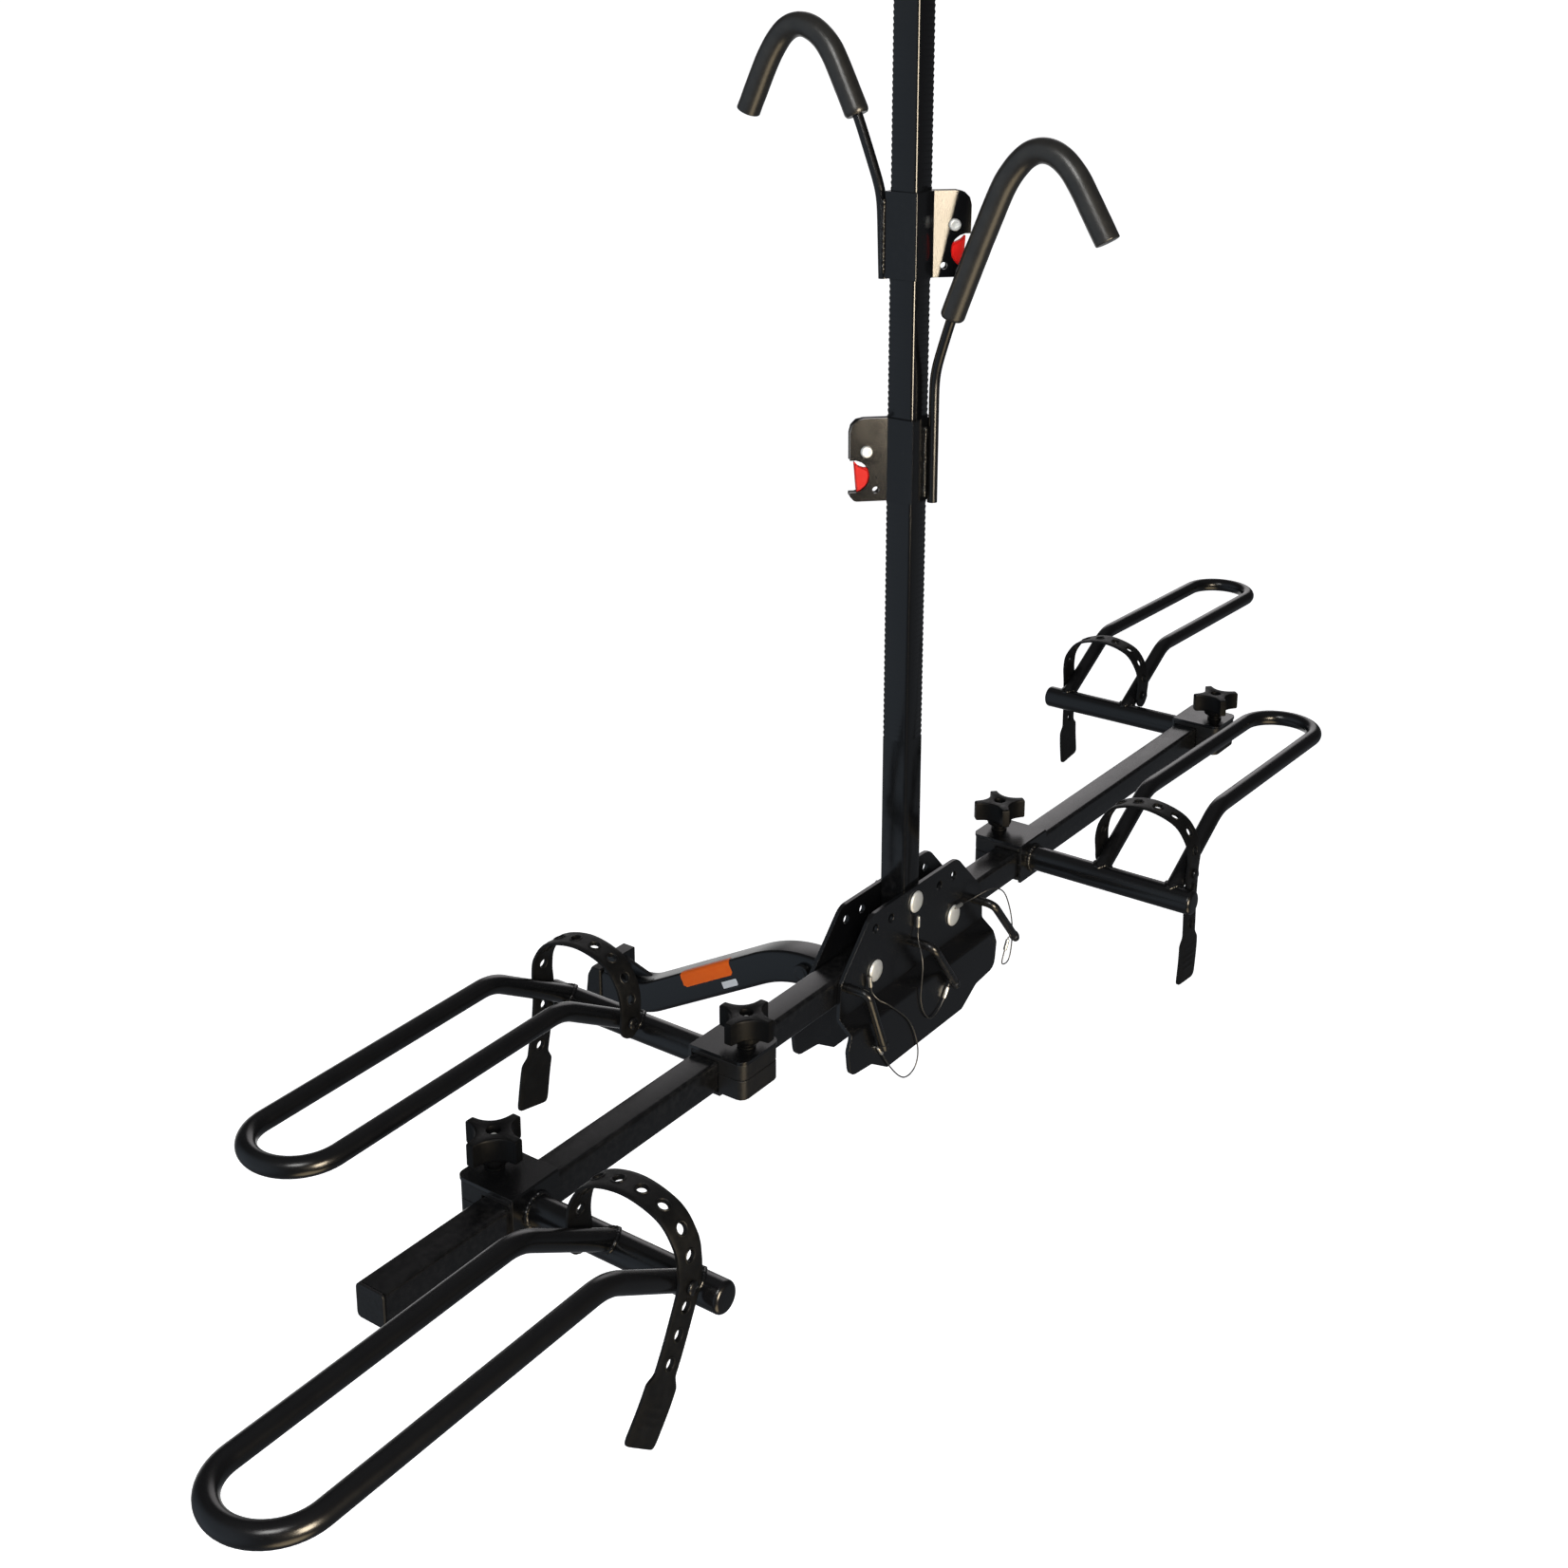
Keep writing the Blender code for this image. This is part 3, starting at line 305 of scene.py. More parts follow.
FERRULE = two_tone(
    "pressed_steel", ((0.52, 0.52, 0.50), (0.74, 0.74, 0.72)), (400, 3),
    (0.26, 0.42), (500, 2), (0.3, 0.0004), (500, 2), metallic=0.9,
)
ORANGE_LABEL = blank_sticker("orange_label", (0.97, 0.130, 0.004), (1.0, 0.165, 0.008))
WHITE_LABEL = blank_sticker("white_label", (0.74, 0.75, 0.76), (0.82, 0.83, 0.84))


# ---- making pieces

def linked(name, data):
    """A new object in the scene."""
    item = bpy.data.objects.new(name, data)
    bpy.context.scene.collection.objects.link(item)
    return item


def placed_mesh(name, work):
    """A mesh from a bmesh that was laid out from the pivot row."""
    mesh = bpy.data.meshes.new(name)
    bmesh.ops.translate(work, verts=work.verts, vec=SHIFT)
    work.normal_update()
    work.to_mesh(mesh)
    work.free()
    return mesh


def new_piece(name, work, material, bevel=0.0, segments=2):
    """A piece from a bmesh, smooth shaded, with its sharp edges bevelled where a width is given."""
    mesh = placed_mesh(name, work)
    mesh.shade_smooth()
    mesh.materials.append(material)
    piece = linked(name, mesh)
    if bevel:
        modifier = piece.modifiers.new("edges", "BEVEL")
        modifier.width = bevel
        modifier.segments = segments
        modifier.limit_method = "ANGLE"
        modifier.angle_limit = math.radians(32)
        modifier.use_clamp_overlap = True
        normals = piece.modifiers.new("flat_faces", "WEIGHTED_NORMAL")
        normals.weight = 100
    else:
        mesh.set_sharp_from_angle(angle=CREASE)
    return piece


def cut_out(piece, cutters, crease=CREASE):
    """Takes the solids in a bmesh out of a piece's mesh."""
    cutter = linked("holes", placed_mesh("holes", cutters))
    boolean = piece.modifiers.new("holes", "BOOLEAN")
    boolean.object = cutter
    graph = bpy.context.evaluated_depsgraph_get()
    piece.data = bpy.data.meshes.new_from_object(piece.evaluated_get(graph))
    piece.modifiers.clear()
    bpy.data.objects.remove(cutter)
    piece.data.set_sharp_from_angle(angle=crease)


def attach(piece, body, *nodes):
    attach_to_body(piece, body)
    if nodes:
        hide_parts(*nodes)
    return piece


def refined(node, material, body, bevel=0.8 * MM, segments=2):
    """A piece with a CAD node's shape, with clean flat faces and rounded edges."""
    work = bmesh.new()
    work.from_mesh(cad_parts[node].data)
    bmesh.ops.translate(work, verts=work.verts, vec=-SHIFT)
    bmesh.ops.remove_doubles(work, verts=work.verts, dist=0.00002)
    bmesh.ops.dissolve_limit(
        work, angle_limit=math.radians(0.8), verts=work.verts, edges=work.edges, use_dissolve_boundaries=False
    )
    bmesh.ops.recalc_face_normals(work, faces=work.faces)
    piece = new_piece(f"{node}_finished", work, material, bevel, segments)
    return attach(piece, body, node)


def skin(work, rings, closed=False):
    """Faces between rings of points, with flat caps on both ends, or joined end to end where closed."""
    made = [[work.verts.new(point) for point in ring] for ring in rings]
    following = made[1:] + made[:1] if closed else made[1:]
    for one, other in zip(made, following):
        for i in range(-1, len(one) - 1):
            work.faces.new((one[i], one[i + 1], other[i + 1], other[i]))
    if not closed:
        work.faces.new(made[0][::-1])
        work.faces.new(made[-1])
    bmesh.ops.recalc_face_normals(work, faces=work.faces)
    return work


def frames_along(points, closed=False, up=None):
    """For each point of a path: its place, and two directions across the path that don't twist."""
    count = len(points)
    result = []
    normal = None
    for i in range(count):
        before = points[i - 1] if i or closed else points[0]
        after = points[(i + 1) % count] if i < count - 1 or closed else points[-1]
        along = (after - before).normalized()
        if normal is None:
            guide = up or (Vector((0, 0, 1)) if abs(along.z) < 0.9 else Vector((1, 0, 0)))
            normal = (guide - along * guide.dot(along)).normalized()
        else:
            normal = (normal - along * normal.dot(along)).normalized()
        result.append((points[i], normal, along.cross(normal)))
    return result


def tube(work, points, radius, sides=28, closed=False, swell=None):
    """A round bar along a path. swell(i) scales the radius at point i."""
    rings = []
    for i, (point, one, two) in enumerate(frames_along(points, closed)):
        r = radius * (swell(i) if swell else 1.0)
        rings.append([point + (one * math.cos(a) + two * math.sin(a)) * r for a in circle(sides)])
    return skin(work, rings, closed)


def domed(points, radius, rounding, steps):
    """Path and radius shares for a bar whose far end is rounded."""
    tip = (points[-1] - points[-2]).normalized()
    base = points[-1] - tip * rounding
    path = [p for p in points[:-1] if (p - base).dot(tip) < -0.0001 or (p - base).length > 4 * radius]
    shares = [1.0] * len(path)
    for k in range(steps + 1):
        a = math.pi / 2 * k / steps
        path.append(base + tip * rounding * math.sin(a))
        shares.append((radius - rounding + rounding * math.cos(a)) / radius)
    return path, shares


def in_mm(profile):
    return [(r * MM, h * MM) for r, h in profile]


def turned(work, profile, base, axis, sides=32):
    """A profile of (radius, height) turned about an axis."""
    axis = Vector(axis).normalized()
    one = axis.orthogonal().normalized()
    two = axis.cross(one)
    base = Vector(base)
    rings = [
        [base + axis * h + (one * math.cos(a) + two * math.sin(a)) * max(r, 0.05 * MM) for a in circle(sides)]
        for r, h in profile
    ]
    return skin(work, rings)


def fillet(corners, segments, closed=False):
    """Points along a polyline whose corners, each (point, radius), are rounded with arcs."""
    points = []
    count = len(corners)
    for i, (corner, radius) in enumerate(corners):
        corner = Vector(corner)
        if radius == 0 or (not closed and i in (0, count - 1)):
            points.append(corner)
            continue
        before = (Vector(corners[i - 1][0]) - corner).normalized()
        after = (Vector(corners[(i + 1) % count][0]) - corner).normalized()
        half = before.angle(after) / 2
        centre = corner + (before + after).normalized() * (radius / math.sin(half))
        start = corner + before * (radius / math.tan(half)) - centre
        end = corner + after * (radius / math.tan(half)) - centre
        for k in range(segments + 1):
            points.append(centre + start.slerp(end, k / segments, start).normalized() * radius)
    return points


def flowing(points):
    """Catmull-Rom points through a list of points."""
    points = [Vector(p) for p in points]
    ends = [points[0] * 2 - points[1], *points, points[-1] * 2 - points[-2]]
    result = []
    for i in range(1, len(ends) - 2):
        a, b, c, d = ends[i - 1:i + 3]
        for k in range(10):
            t = k / 10
            result.append(0.5 * (2 * b + (c - a) * t + (2 * a - 5 * b + 4 * c - d) * t ** 2
                                 + (3 * b - a - 3 * c + d) * t ** 3))
    result.append(points[-1])
    return result


def resampled(points, step):
    """The same path at even steps."""
    result = [points[0]]
    left = step
    for a, b in zip(points, points[1:]):
        length = (b - a).length
        at = 0.0
        while length - at >= left:
            at += left
            result.append(a + (b - a) * (at / length))
            left = step
        left -= length - at
    if (points[-1] - result[-1]).length > step * 0.3:
        result.append(points[-1])
    return result


def smoothed(points, rounds):
    """The same path with its changes of direction spread out. Its ends stay put."""
    for _ in range(rounds):
        middle = [(a + b * 2 + c) / 4 for a, b, c in zip(points, points[1:], points[2:])]
        points = [points[0], *middle, points[-1]]
    return points


def bead(work, loop, radius, seed, closed=True):
    """A weld bead along a loop: a rippled, slightly uneven roll of metal."""
    points = resampled(loop, 1.1 * MM)
    if closed and (points[-1] - points[0]).length < 0.6 * MM:
        points.pop()

    def ripple(i):
        wobble = noise.noise(Vector((i * 0.21, seed, 0.5)))
        return 1.0 + 0.13 * math.sin(i * 2.3) + 0.22 * wobble

    return tube(work, points, radius, 10, closed, ripple)


def square_ring(half, corner, steps=6):
    """Points round a square with round corners, as (u, v)."""
    points = []
    for k in range(4):
        middle = math.pi / 2 * k + math.pi / 4
        cu = (half - corner) * math.copysign(1, math.cos(middle))
        cv = (half - corner) * math.copysign(1, math.sin(middle))
        for s in range(steps + 1):
            a = math.pi / 2 * k + math.pi / 2 * s / steps
            points.append((cu + corner * math.cos(a), cv + corner * math.sin(a)))
    return points


# ---- bracket

def build_bracket():
    for node in ("outer_plate", "inner_plate"):
        refined(node, POWDER, "bracket", 0.9 * MM, 3)
    refined("hitch_end_cap", MOULDED, "bracket", 1.2 * MM, 3)
    refined("hitch_stop", POWDER, "bracket", 1.0 * MM, 3)
    refined("hitch_cross_nut", POWDER, "bracket", 0.7 * MM, 2)
    for name in ("mast", "left", "right"):
        refined(f"{name}_pivot_nut", ZINC, "bracket", 0.7 * MM, 2)
    build_hitch_bar()
    for name in ("mast", "left", "right"):
        build_pivot_bolt(name)
    low = box("hitch_cross_bolt")[0]
    middle = centre("hitch_cross_bolt")
    work = turned(bmesh.new(), in_mm((
        (0, 7.4), (6, 7.4), (6.6, 6.9), (9.8, 6.6), (10.5, 5.6), (10.5, 0.6), (10, 0), (6, 0), (6, -51), (5, -52),
        (0, -52),
    )), (low.x + 7.4 * MM, middle.y, middle.z), (-1, 0, 0), 40)
    attach(new_piece("hitch_cross_bolt_finished", work, POWDER), "bracket", "hitch_cross_bolt")


def build_pivot_bolt(name):
    """Carriage bolt with a low dome, seen from the cycles' side."""
    node = f"{name}_pivot_bolt"
    low, high = box(node)
    middle = centre(node)
    radius = (high.x - low.x) / 2
    dome = 4 * MM
    face = low.y + dome
    profile = [(radius * math.sin(a), 0.9 * MM + (dome - 0.9 * MM) * math.cos(a))
               for a in (math.pi / 2 * k / 12 for k in range(13))]
    profile += [(radius, 0.3 * MM), (radius - 0.5 * MM, 0), (6 * MM, 0), (6 * MM, face - high.y + 1 * MM),
                (5 * MM, face - high.y), (0, face - high.y)]
    work = turned(bmesh.new(), profile, (middle.x, face, middle.z), (0, -1, 0), 44)
    attach(new_piece(f"{node}_finished", work, ZINC), "bracket", node)


def hitch_centre_line():
    low, high = box("hitch_bar")
    top, bottom = high.z - HITCH_HALF, low.z + HITCH_HALF
    corners = (
        ((0, low.y, top), 0), ((0, 146 * MM, top), 150 * MM),
        ((0, 352 * MM, bottom), 80 * MM), ((0, high.y, bottom), 0),
    )
    return resampled(fillet(corners, 24), 4 * MM)


def build_hitch_bar():
    """Square bar with two bends, its welds, and the blank stickers on its left side."""
    half = HITCH_HALF
    path = hitch_centre_line()
    rings = [
        [point + side * u + normal * v for u, v in square_ring(half, HITCH_CORNER)]
        for point, normal, side in frames_along(path, up=Vector((0, 0, 1)))
    ]
    work = skin(bmesh.new(), rings)
    attach(new_piece("hitch_bar_finished", work, POWDER), "bracket", "hitch_bar")

    skirt = box("inner_plate")[1].y
    z = path[0].z
    loop = [Vector((u, skirt + 1.2 * MM, z + v)) for u, v in square_ring(half + 1.2 * MM, 6 * MM)]
    attach(new_piece("hitch_bar_weld", bead(bmesh.new(), loop + loop[:1], 3.0 * MM, 1.0), POWDER), "bracket")
    stop = box("hitch_stop")
    low_z = stop[0].z + 1 * MM
    edge = [Vector((x * half * 0.8, stop[1].y + 0.5 * MM, low_z + 0.3 * MM)) for x in (-1, -0.5, 0, 0.5, 1)]
    attach(new_piece("hitch_stop_weld", bead(bmesh.new(), edge, 2.6 * MM, 2.0, False), POWDER), "bracket")

    slope = (path[len(path) // 2 + 4] - path[len(path) // 2 - 4]).normalized()
    up = Vector((1, 0, 0)).cross(slope).normalized()
    middle = min(path, key=lambda p: abs(p.y - 248 * MM))
    attach(new_piece("orange_sticker", wrapped_sticker(middle, slope, up, half), ORANGE_LABEL), "bracket")
    spot = middle - slope * 30 * MM - up * 7.5 * MM - Vector((half + 0.12 * MM, 0, 0))
    outline = fillet([
        (Vector((a * 12 * MM, b * 4 * MM, 0)), 1.0 * MM) for a, b in ((-1, -1), (1, -1), (1, 1), (-1, 1))
    ], 4, True)
    rings = [[spot + slope * p.x + up * p.y + Vector((x, 0, 0)) for p in outline] for x in (0, 0.18 * MM)]
    attach(new_piece("white_sticker", skin(bmesh.new(), rings), WHITE_LABEL), "bracket")


def wrapped_sticker(middle, slope, up, half):
    """Sticker on the bar's left side, folded over its rounded top corner."""
    corner = HITCH_CORNER
    lift = 0.15 * MM
    side_low, top_far = 1.5 * MM, 10.5 * MM
    across = [(-half - lift, side_low + (half - corner - side_low) * k / 4) for k in range(4)]
    for k in range(9):
        a = math.pi / 2 * k / 8
        across.append((
            -half + corner - (corner + lift) * math.cos(a), half - corner + (corner + lift) * math.sin(a)
        ))
    across += [(-half + corner + (top_far - corner) * k / 4, half + lift) for k in range(1, 5)]
    long_half, rounding = 41 * MM, 3.5 * MM
    lengths = [0.0]
    for one, other in zip(across, across[1:]):
        lengths.append(lengths[-1] + math.dist(one, other))
    total = lengths[-1]
    work = bmesh.new()
    made = []
    for travelled, (x, z) in zip(lengths, across):
        near = min(travelled, total - travelled)
        inset = rounding - math.sqrt(max(rounding ** 2 - max(rounding - near, 0) ** 2, 0))
        reach = long_half - inset
        made.append([
            work.verts.new(middle + slope * (reach * (2 * k / 12 - 1)) + up * z + Vector((x, 0, 0)))
            for k in range(13)
        ])
    for one, other in zip(made, made[1:]):
        for k in range(12):
            work.faces.new((one[k], one[k + 1], other[k + 1], other[k]))
    bmesh.ops.recalc_face_normals(work, faces=work.faces)
    return work


# ---- mast and arms

def holed(piece, spots):
    """Cuts bolt and pin holes along Y through a tube, at each (x, z)."""
    work = bmesh.new()
    for x, z in spots:
        bmesh.ops.create_cone(
            work, cap_ends=True, segments=32, radius1=TUBE_HOLE_R, radius2=TUBE_HOLE_R, depth=0.1,
            matrix=Matrix.Translation((x, 0, z)) @ Matrix.Rotation(math.pi / 2, 4, "X"),
        )
    cut_out(piece, work)


def square_tube(name, start, end, up, coat, stations=(0.0, 1.0), notch=lambda place, u, v: 0.0):
    """Open square tube with its wall, outside first and then back along the inside."""
    axis = (end - start).normalized()
    side = axis.cross(up)
    bore = square_ring(TUBE_HALF - TUBE_WALL, TUBE_CORNER - TUBE_WALL)
    rings = []
    for share in stations:
        place = start.lerp(end, share)
        ring = []
        for u, v in square_ring(TUBE_HALF, TUBE_CORNER):
            shrink = 1 - notch(place, u, v) / math.hypot(u, v)
            ring.append(place + side * u * shrink + up * v * shrink)
        rings.append(ring)
    for share in (1.0, 0.0):
        place = start.lerp(end, share)
        rings.append([place + side * u + up * v for u, v in bore])
    return new_piece(name, skin(bmesh.new(), rings, closed=True), coat)


def build_mast():
    """Square mast with a row of ratchet teeth down two of its corners."""
    low, high = box("mast_tube")
    toothed = (box("lower_sleeve")[0].z - 0.26, high.z - 12 * MM)
    length = high.z - low.z
    count = int((toothed[1] - toothed[0]) / TOOTH_PITCH)
    stations = [0.0]
    for k in range(count):
        z = toothed[0] + k * TOOTH_PITCH
        for part in (0.0, 0.12, 0.75, 0.99):
            stations.append((z + part * TOOTH_PITCH - low.z) / length)
    stations.append(1.0)

    def notch(place, u, v):
        phase = ((place.z - toothed[0]) / TOOTH_PITCH) % 1.0
        inside = toothed[0] <= place.z < toothed[0] + count * TOOTH_PITCH
        at_corner = min(abs(u), abs(v)) > 12.6 * MM and u * v > 0
        return TOOTH_DEPTH if inside and at_corner and 0.05 < phase < 0.5 else 0.0

    start, end = Vector((0, 0, low.z)), Vector((0, 0, high.z))
    piece = square_tube("mast_tube_finished", start, end, Vector((0, 1, 0)), GLOSSY_POWDER, stations, notch)
    pivot = centre("mast_pivot_bolt")
    holed(piece, ((0, pivot.z), (0, 0)))
    attach(piece, "mast", "mast_tube")
    refined("mast_cap", MOULDED, "mast", 1.0 * MM, 3)


def build_arm(name, side):
    low, high = box(f"{name}_arm")
    start, end = Vector((low.x, 0, 0)), Vector((high.x, 0, 0))
    piece = square_tube(f"{name}_arm_finished", start, end, Vector((0, 0, 1)), POWDER)
    pivot = centre(f"{name}_pivot_bolt")
    holed(piece, ((pivot.x, 0), (pivot.x + side * LOCK_REACH, 0)))
    attach(piece, f"{name}_arm", f"{name}_arm")
    refined(f"{name}_arm_cap", MOULDED, f"{name}_arm", 1.0 * MM, 3)


# ---- bicycle holders

class Holder:
    """Local frame of one holder: hoop towards local -X, rod towards local -Y."""

    def __init__(self, name):
        self.name = name
        self.body = f"{name}_holder"
        jaw = centre(f"{name}_upper_jaw")
        hoop = centre(f"{name}_hoop_frame")
        self.x = jaw.x
        self.out = 1 if hoop.x > jaw.x else -1
        self.rod = 1 if hoop.y > 0 else -1

    def at(self, x, y, z):
        """A local point, in metres, as a point of the row frame."""
        return Vector((self.x - self.out * x, -self.rod * y, z))


def hoop_path(holder):
    """Centre line of the hoop: up from the rod, out, round the tip and back."""
    round_r = (LEG_FAR - LEG_NEAR) / 2
    tip_x = HOOP_TIP - round_r
    middle = (LEG_NEAR + LEG_FAR) / 2
    leg = fillet(
        [((0, 0, LEG_FOOT_Z), 0), ((-113 * MM, 0, 69 * MM), 60 * MM), ((-tip_x, 0, HOOP_Z), 0)], 12
    )
    near = [holder.at(p.x, -LEG_NEAR, p.z) for p in leg]
    far = [holder.at(p.x, -LEG_FAR, p.z) for p in reversed(leg)]
    tip = [
        holder.at(-tip_x - round_r * math.sin(a), -middle + round_r * math.cos(a), HOOP_Z)
        for a in (math.pi * k / 28 for k in range(1, 28))
    ]
    return near + tip + far


def leg_weld(holder, leg_y):
    """The line where a hoop leg meets the rod."""
    direction = Vector((-113, 0, 63.3)).normalized()
    normal = Vector((direction.z, 0, -direction.x))
    start = Vector((0, -leg_y, LEG_FOOT_Z))
    loop = []
    for a in circle(48):
        offset = start + Vector((0, 1, 0)) * (HOOP_R * math.cos(a)) + normal * (HOOP_R * math.sin(a))
        b = offset.x * direction.x + offset.z * direction.z
        c = offset.x ** 2 + offset.z ** 2 - ROD_R ** 2
        t = -b + math.sqrt(max(b * b - c, 0.0))
        loop.append(holder.at(*(offset + direction * (t + 0.4 * MM))))
    return loop


def build_hoop_frame(holder):
    name = holder.name
    node = f"{name}_hoop_frame"
    inside = 16.2 * MM
    outside = inside + 3.5 * MM

    half = 29.5 * MM
    end, corner = 47 * MM, 9 * MM
    rounded = []
    for k in range(9):
        a = math.pi / 2 * k / 8
        rounded.append((half - corner + corner * math.sin(a), end - corner + corner * math.cos(a)))
    rings = []
    for x, reach in [(-x, reach) for x, reach in rounded[::-1]] + rounded:
        profile = (
            (-outside, -22 * MM), (-inside, -22 * MM), (-inside, 20.5 * MM), (reach, 20.5 * MM),
            (reach, 24 * MM), (-outside + 1.5 * MM, 24 * MM), (-outside, 22.5 * MM),
        )
        rings.append([holder.at(x, y, z) for y, z in profile])
    piece = new_piece(f"{name}_saddle", skin(bmesh.new(), rings), POWDER, 0.9 * MM, 3)
    attach(piece, holder.body, node)

    rod_points = [holder.at(0, -y, 0) for y in (inside + 1 * MM, 60 * MM, 120 * MM, 225 * MM)]
    path, shares = domed(rod_points, ROD_R, 4.5 * MM, 8)
    work = tube(bmesh.new(), path, ROD_R, 44, swell=lambda i: shares[i])
    tube(work, hoop_path(holder), HOOP_R, 30)
    piece = new_piece(f"{name}_hoop", work, POWDER)
    attach(piece, holder.body)

    seed = abs(holder.x) * 10
    ring = [holder.at(ROD_R * math.cos(a), -outside - 0.8 * MM, ROD_R * math.sin(a)) for a in circle(60)]
    work = bead(bmesh.new(), ring + ring[:1], 2.6 * MM, seed)
    for leg_y in (LEG_NEAR, LEG_FAR):
        loop = leg_weld(holder, leg_y)
        bead(work, loop + loop[:1], 2.0 * MM, seed + leg_y)
    attach(new_piece(f"{name}_welds", work, POWDER), holder.body)

    work = bmesh.new()
    for face, way in ((-(LEG_NEAR - HOOP_R), 1), (-(LEG_FAR + HOOP_R), -1)):
        base = holder.at(STRAP_X, face, STUD_Z)
        axis = holder.at(STRAP_X, face + way * 0.01, STUD_Z) - base
        profile = ((0, 9), (4.2, 8.8), (5.8, 7.8), (6.2, 6.4), (5.6, 5.2), (3.4, 4.6), (3.4, -3), (0, -3))
        turned(work, in_mm(profile), base, axis, 28)
    attach(new_piece(f"{name}_strap_studs", work, POWDER), holder.body)


def build_jaws(holder):
    refined(f"{holder.name}_upper_jaw", MOULDED, holder.body, 0.9 * MM, 3)
    lower_body = f"{holder.name}_lower_jaw"
    refined(f"{holder.name}_lower_jaw", MOULDED, lower_body, 0.9 * MM, 3)
    node = f"{holder.name}_clamp_bolt"
    low, high = box(node)
    middle = centre(node)
    profile = [(0, high.z), (3 * MM, high.z), (4 * MM, high.z - 1 * MM)]
    z = high.z - 1 * MM
    while z > 18 * MM:
        profile += [(4.0 * MM, z - 0.2 * MM), (3.55 * MM, z - 0.62 * MM), (4.0 * MM, z - 1.05 * MM)]
        z -= 1.25 * MM
    under = low.z + 5 * MM
    profile += [(4 * MM, under), (8.6 * MM, under), (9 * MM, under - 0.5 * MM), (8.6 * MM, under - 2.4 * MM),
                (6 * MM, low.z + 0.7 * MM), (2.6 * MM, low.z), (0, low.z)]
    work = turned(bmesh.new(), profile, (middle.x, middle.y, 0), (0, 0, 1), 28)
    attach(new_piece(f"{node}_finished", work, ZINC), lower_body, node)


def knob_reach(angle):
    """Radius of the knob at an angle from one of its four lobes: blunt tips and hollow sides."""
    from_hollow = abs(angle % (math.pi / 2) - math.pi / 4)
    spread = (24 * MM) ** 2 - (40 * MM * math.sin(from_hollow)) ** 2
    hollow = 40 * MM * math.cos(from_hollow) - math.sqrt(spread) if spread > 0 else 1.0
    tip = 30 * MM
    soft = 3.2 * MM
    if hollow > tip + soft:
        return tip
    if hollow < tip - soft:
        return hollow
    share = (hollow - tip + soft) / (2 * soft)
    return hollow * (1 - share) + tip * share - soft * share * (1 - share)


def build_knob(holder):
    """Four-lobed knob with soft edges, a hollow in its top, a ribbed hub and a dark insert."""
    node = f"{holder.name}_knob"
    low, high = box(node)
    middle = centre(node)
    turn = 0.0 if (high.x - low.x) / 2 > 27 * MM else math.pi / 4
    angles = circle(144)

    def star(inset, z):
        return [
            ((knob_reach(a - turn) - inset) * math.cos(a), (knob_reach(a - turn) - inset) * math.sin(a), z)
            for a in angles
        ]

    def round_ring(radius, z):
        return [(radius * math.cos(a), radius * math.sin(a), z) for a in angles]

    top, mid = high.z, high.z - 22 * MM
    edge = 2.2 * MM
    quarter = [math.pi / 2 * k / 6 for k in range(7)]
    rings = [star(edge * (1 - math.sin(a)), mid + edge * (1 - math.cos(a))) for a in quarter]
    rings += [star(edge * (1 - math.cos(a)), top - edge + edge * math.sin(a)) for a in quarter]
    rings += [
        round_ring(7.6 * MM, top), round_ring(6.8 * MM, top - 0.4 * MM), round_ring(6.5 * MM, top - 1.2 * MM),
        round_ring(6.5 * MM, top - 4 * MM), round_ring(4.4 * MM, top - 4 * MM), round_ring(4.4 * MM, mid),
    ]
    rings = [[Vector((middle.x + x, middle.y + y, z)) for x, y, z in ring] for ring in rings]
    work = skin(bmesh.new(), rings, closed=True)
    hub_low = low.z + 6.7 * MM
    rings = []
    for r, z in ((4.4, hub_low), (12.4, hub_low), (13.4, hub_low + 0.8 * MM), (14.0, hub_low + 3 * MM),
                 (14.0, mid - 1 * MM), (14.6, mid + 0.5 * MM), (4.4, mid + 0.5 * MM)):
        ring = []
        for a in angles:
            rib = 0.35 * max(0.0, math.cos(12 * a)) if 13.5 < r < 15 else 0.0
            reach = (r + rib) * MM
            ring.append(Vector((middle.x + reach * math.cos(a), middle.y + reach * math.sin(a), z)))
        rings.append(ring)
    skin(work, rings, closed=True)
    body = f"{holder.name}_knob"
    attach(new_piece(f"{node}_finished", work, KNOB_PLASTIC), body, node)
    insert = turned(bmesh.new(), [
        (4.3 * MM, hub_low + 0.5 * MM), (7 * MM, hub_low + 0.5 * MM), (7 * MM, low.z + 2.2 * MM),
        (9.2 * MM, low.z + 2.0 * MM), (9.2 * MM, low.z + 0.3 * MM), (8.8 * MM, low.z), (4.3 * MM, low.z),
    ], (middle.x, middle.y, 0), (0, 0, 1), 36)
    attach(new_piece(f"{node}_insert", insert, KNOB_PLASTIC), body)


# Where each strap's tail ends: local (x, z) in millimetres
TAILS = {
    "left_outer": (-96, -84), "left_inner": (-48, -104), "right_inner": (-19, -108), "right_outer": (-40, -104),
}


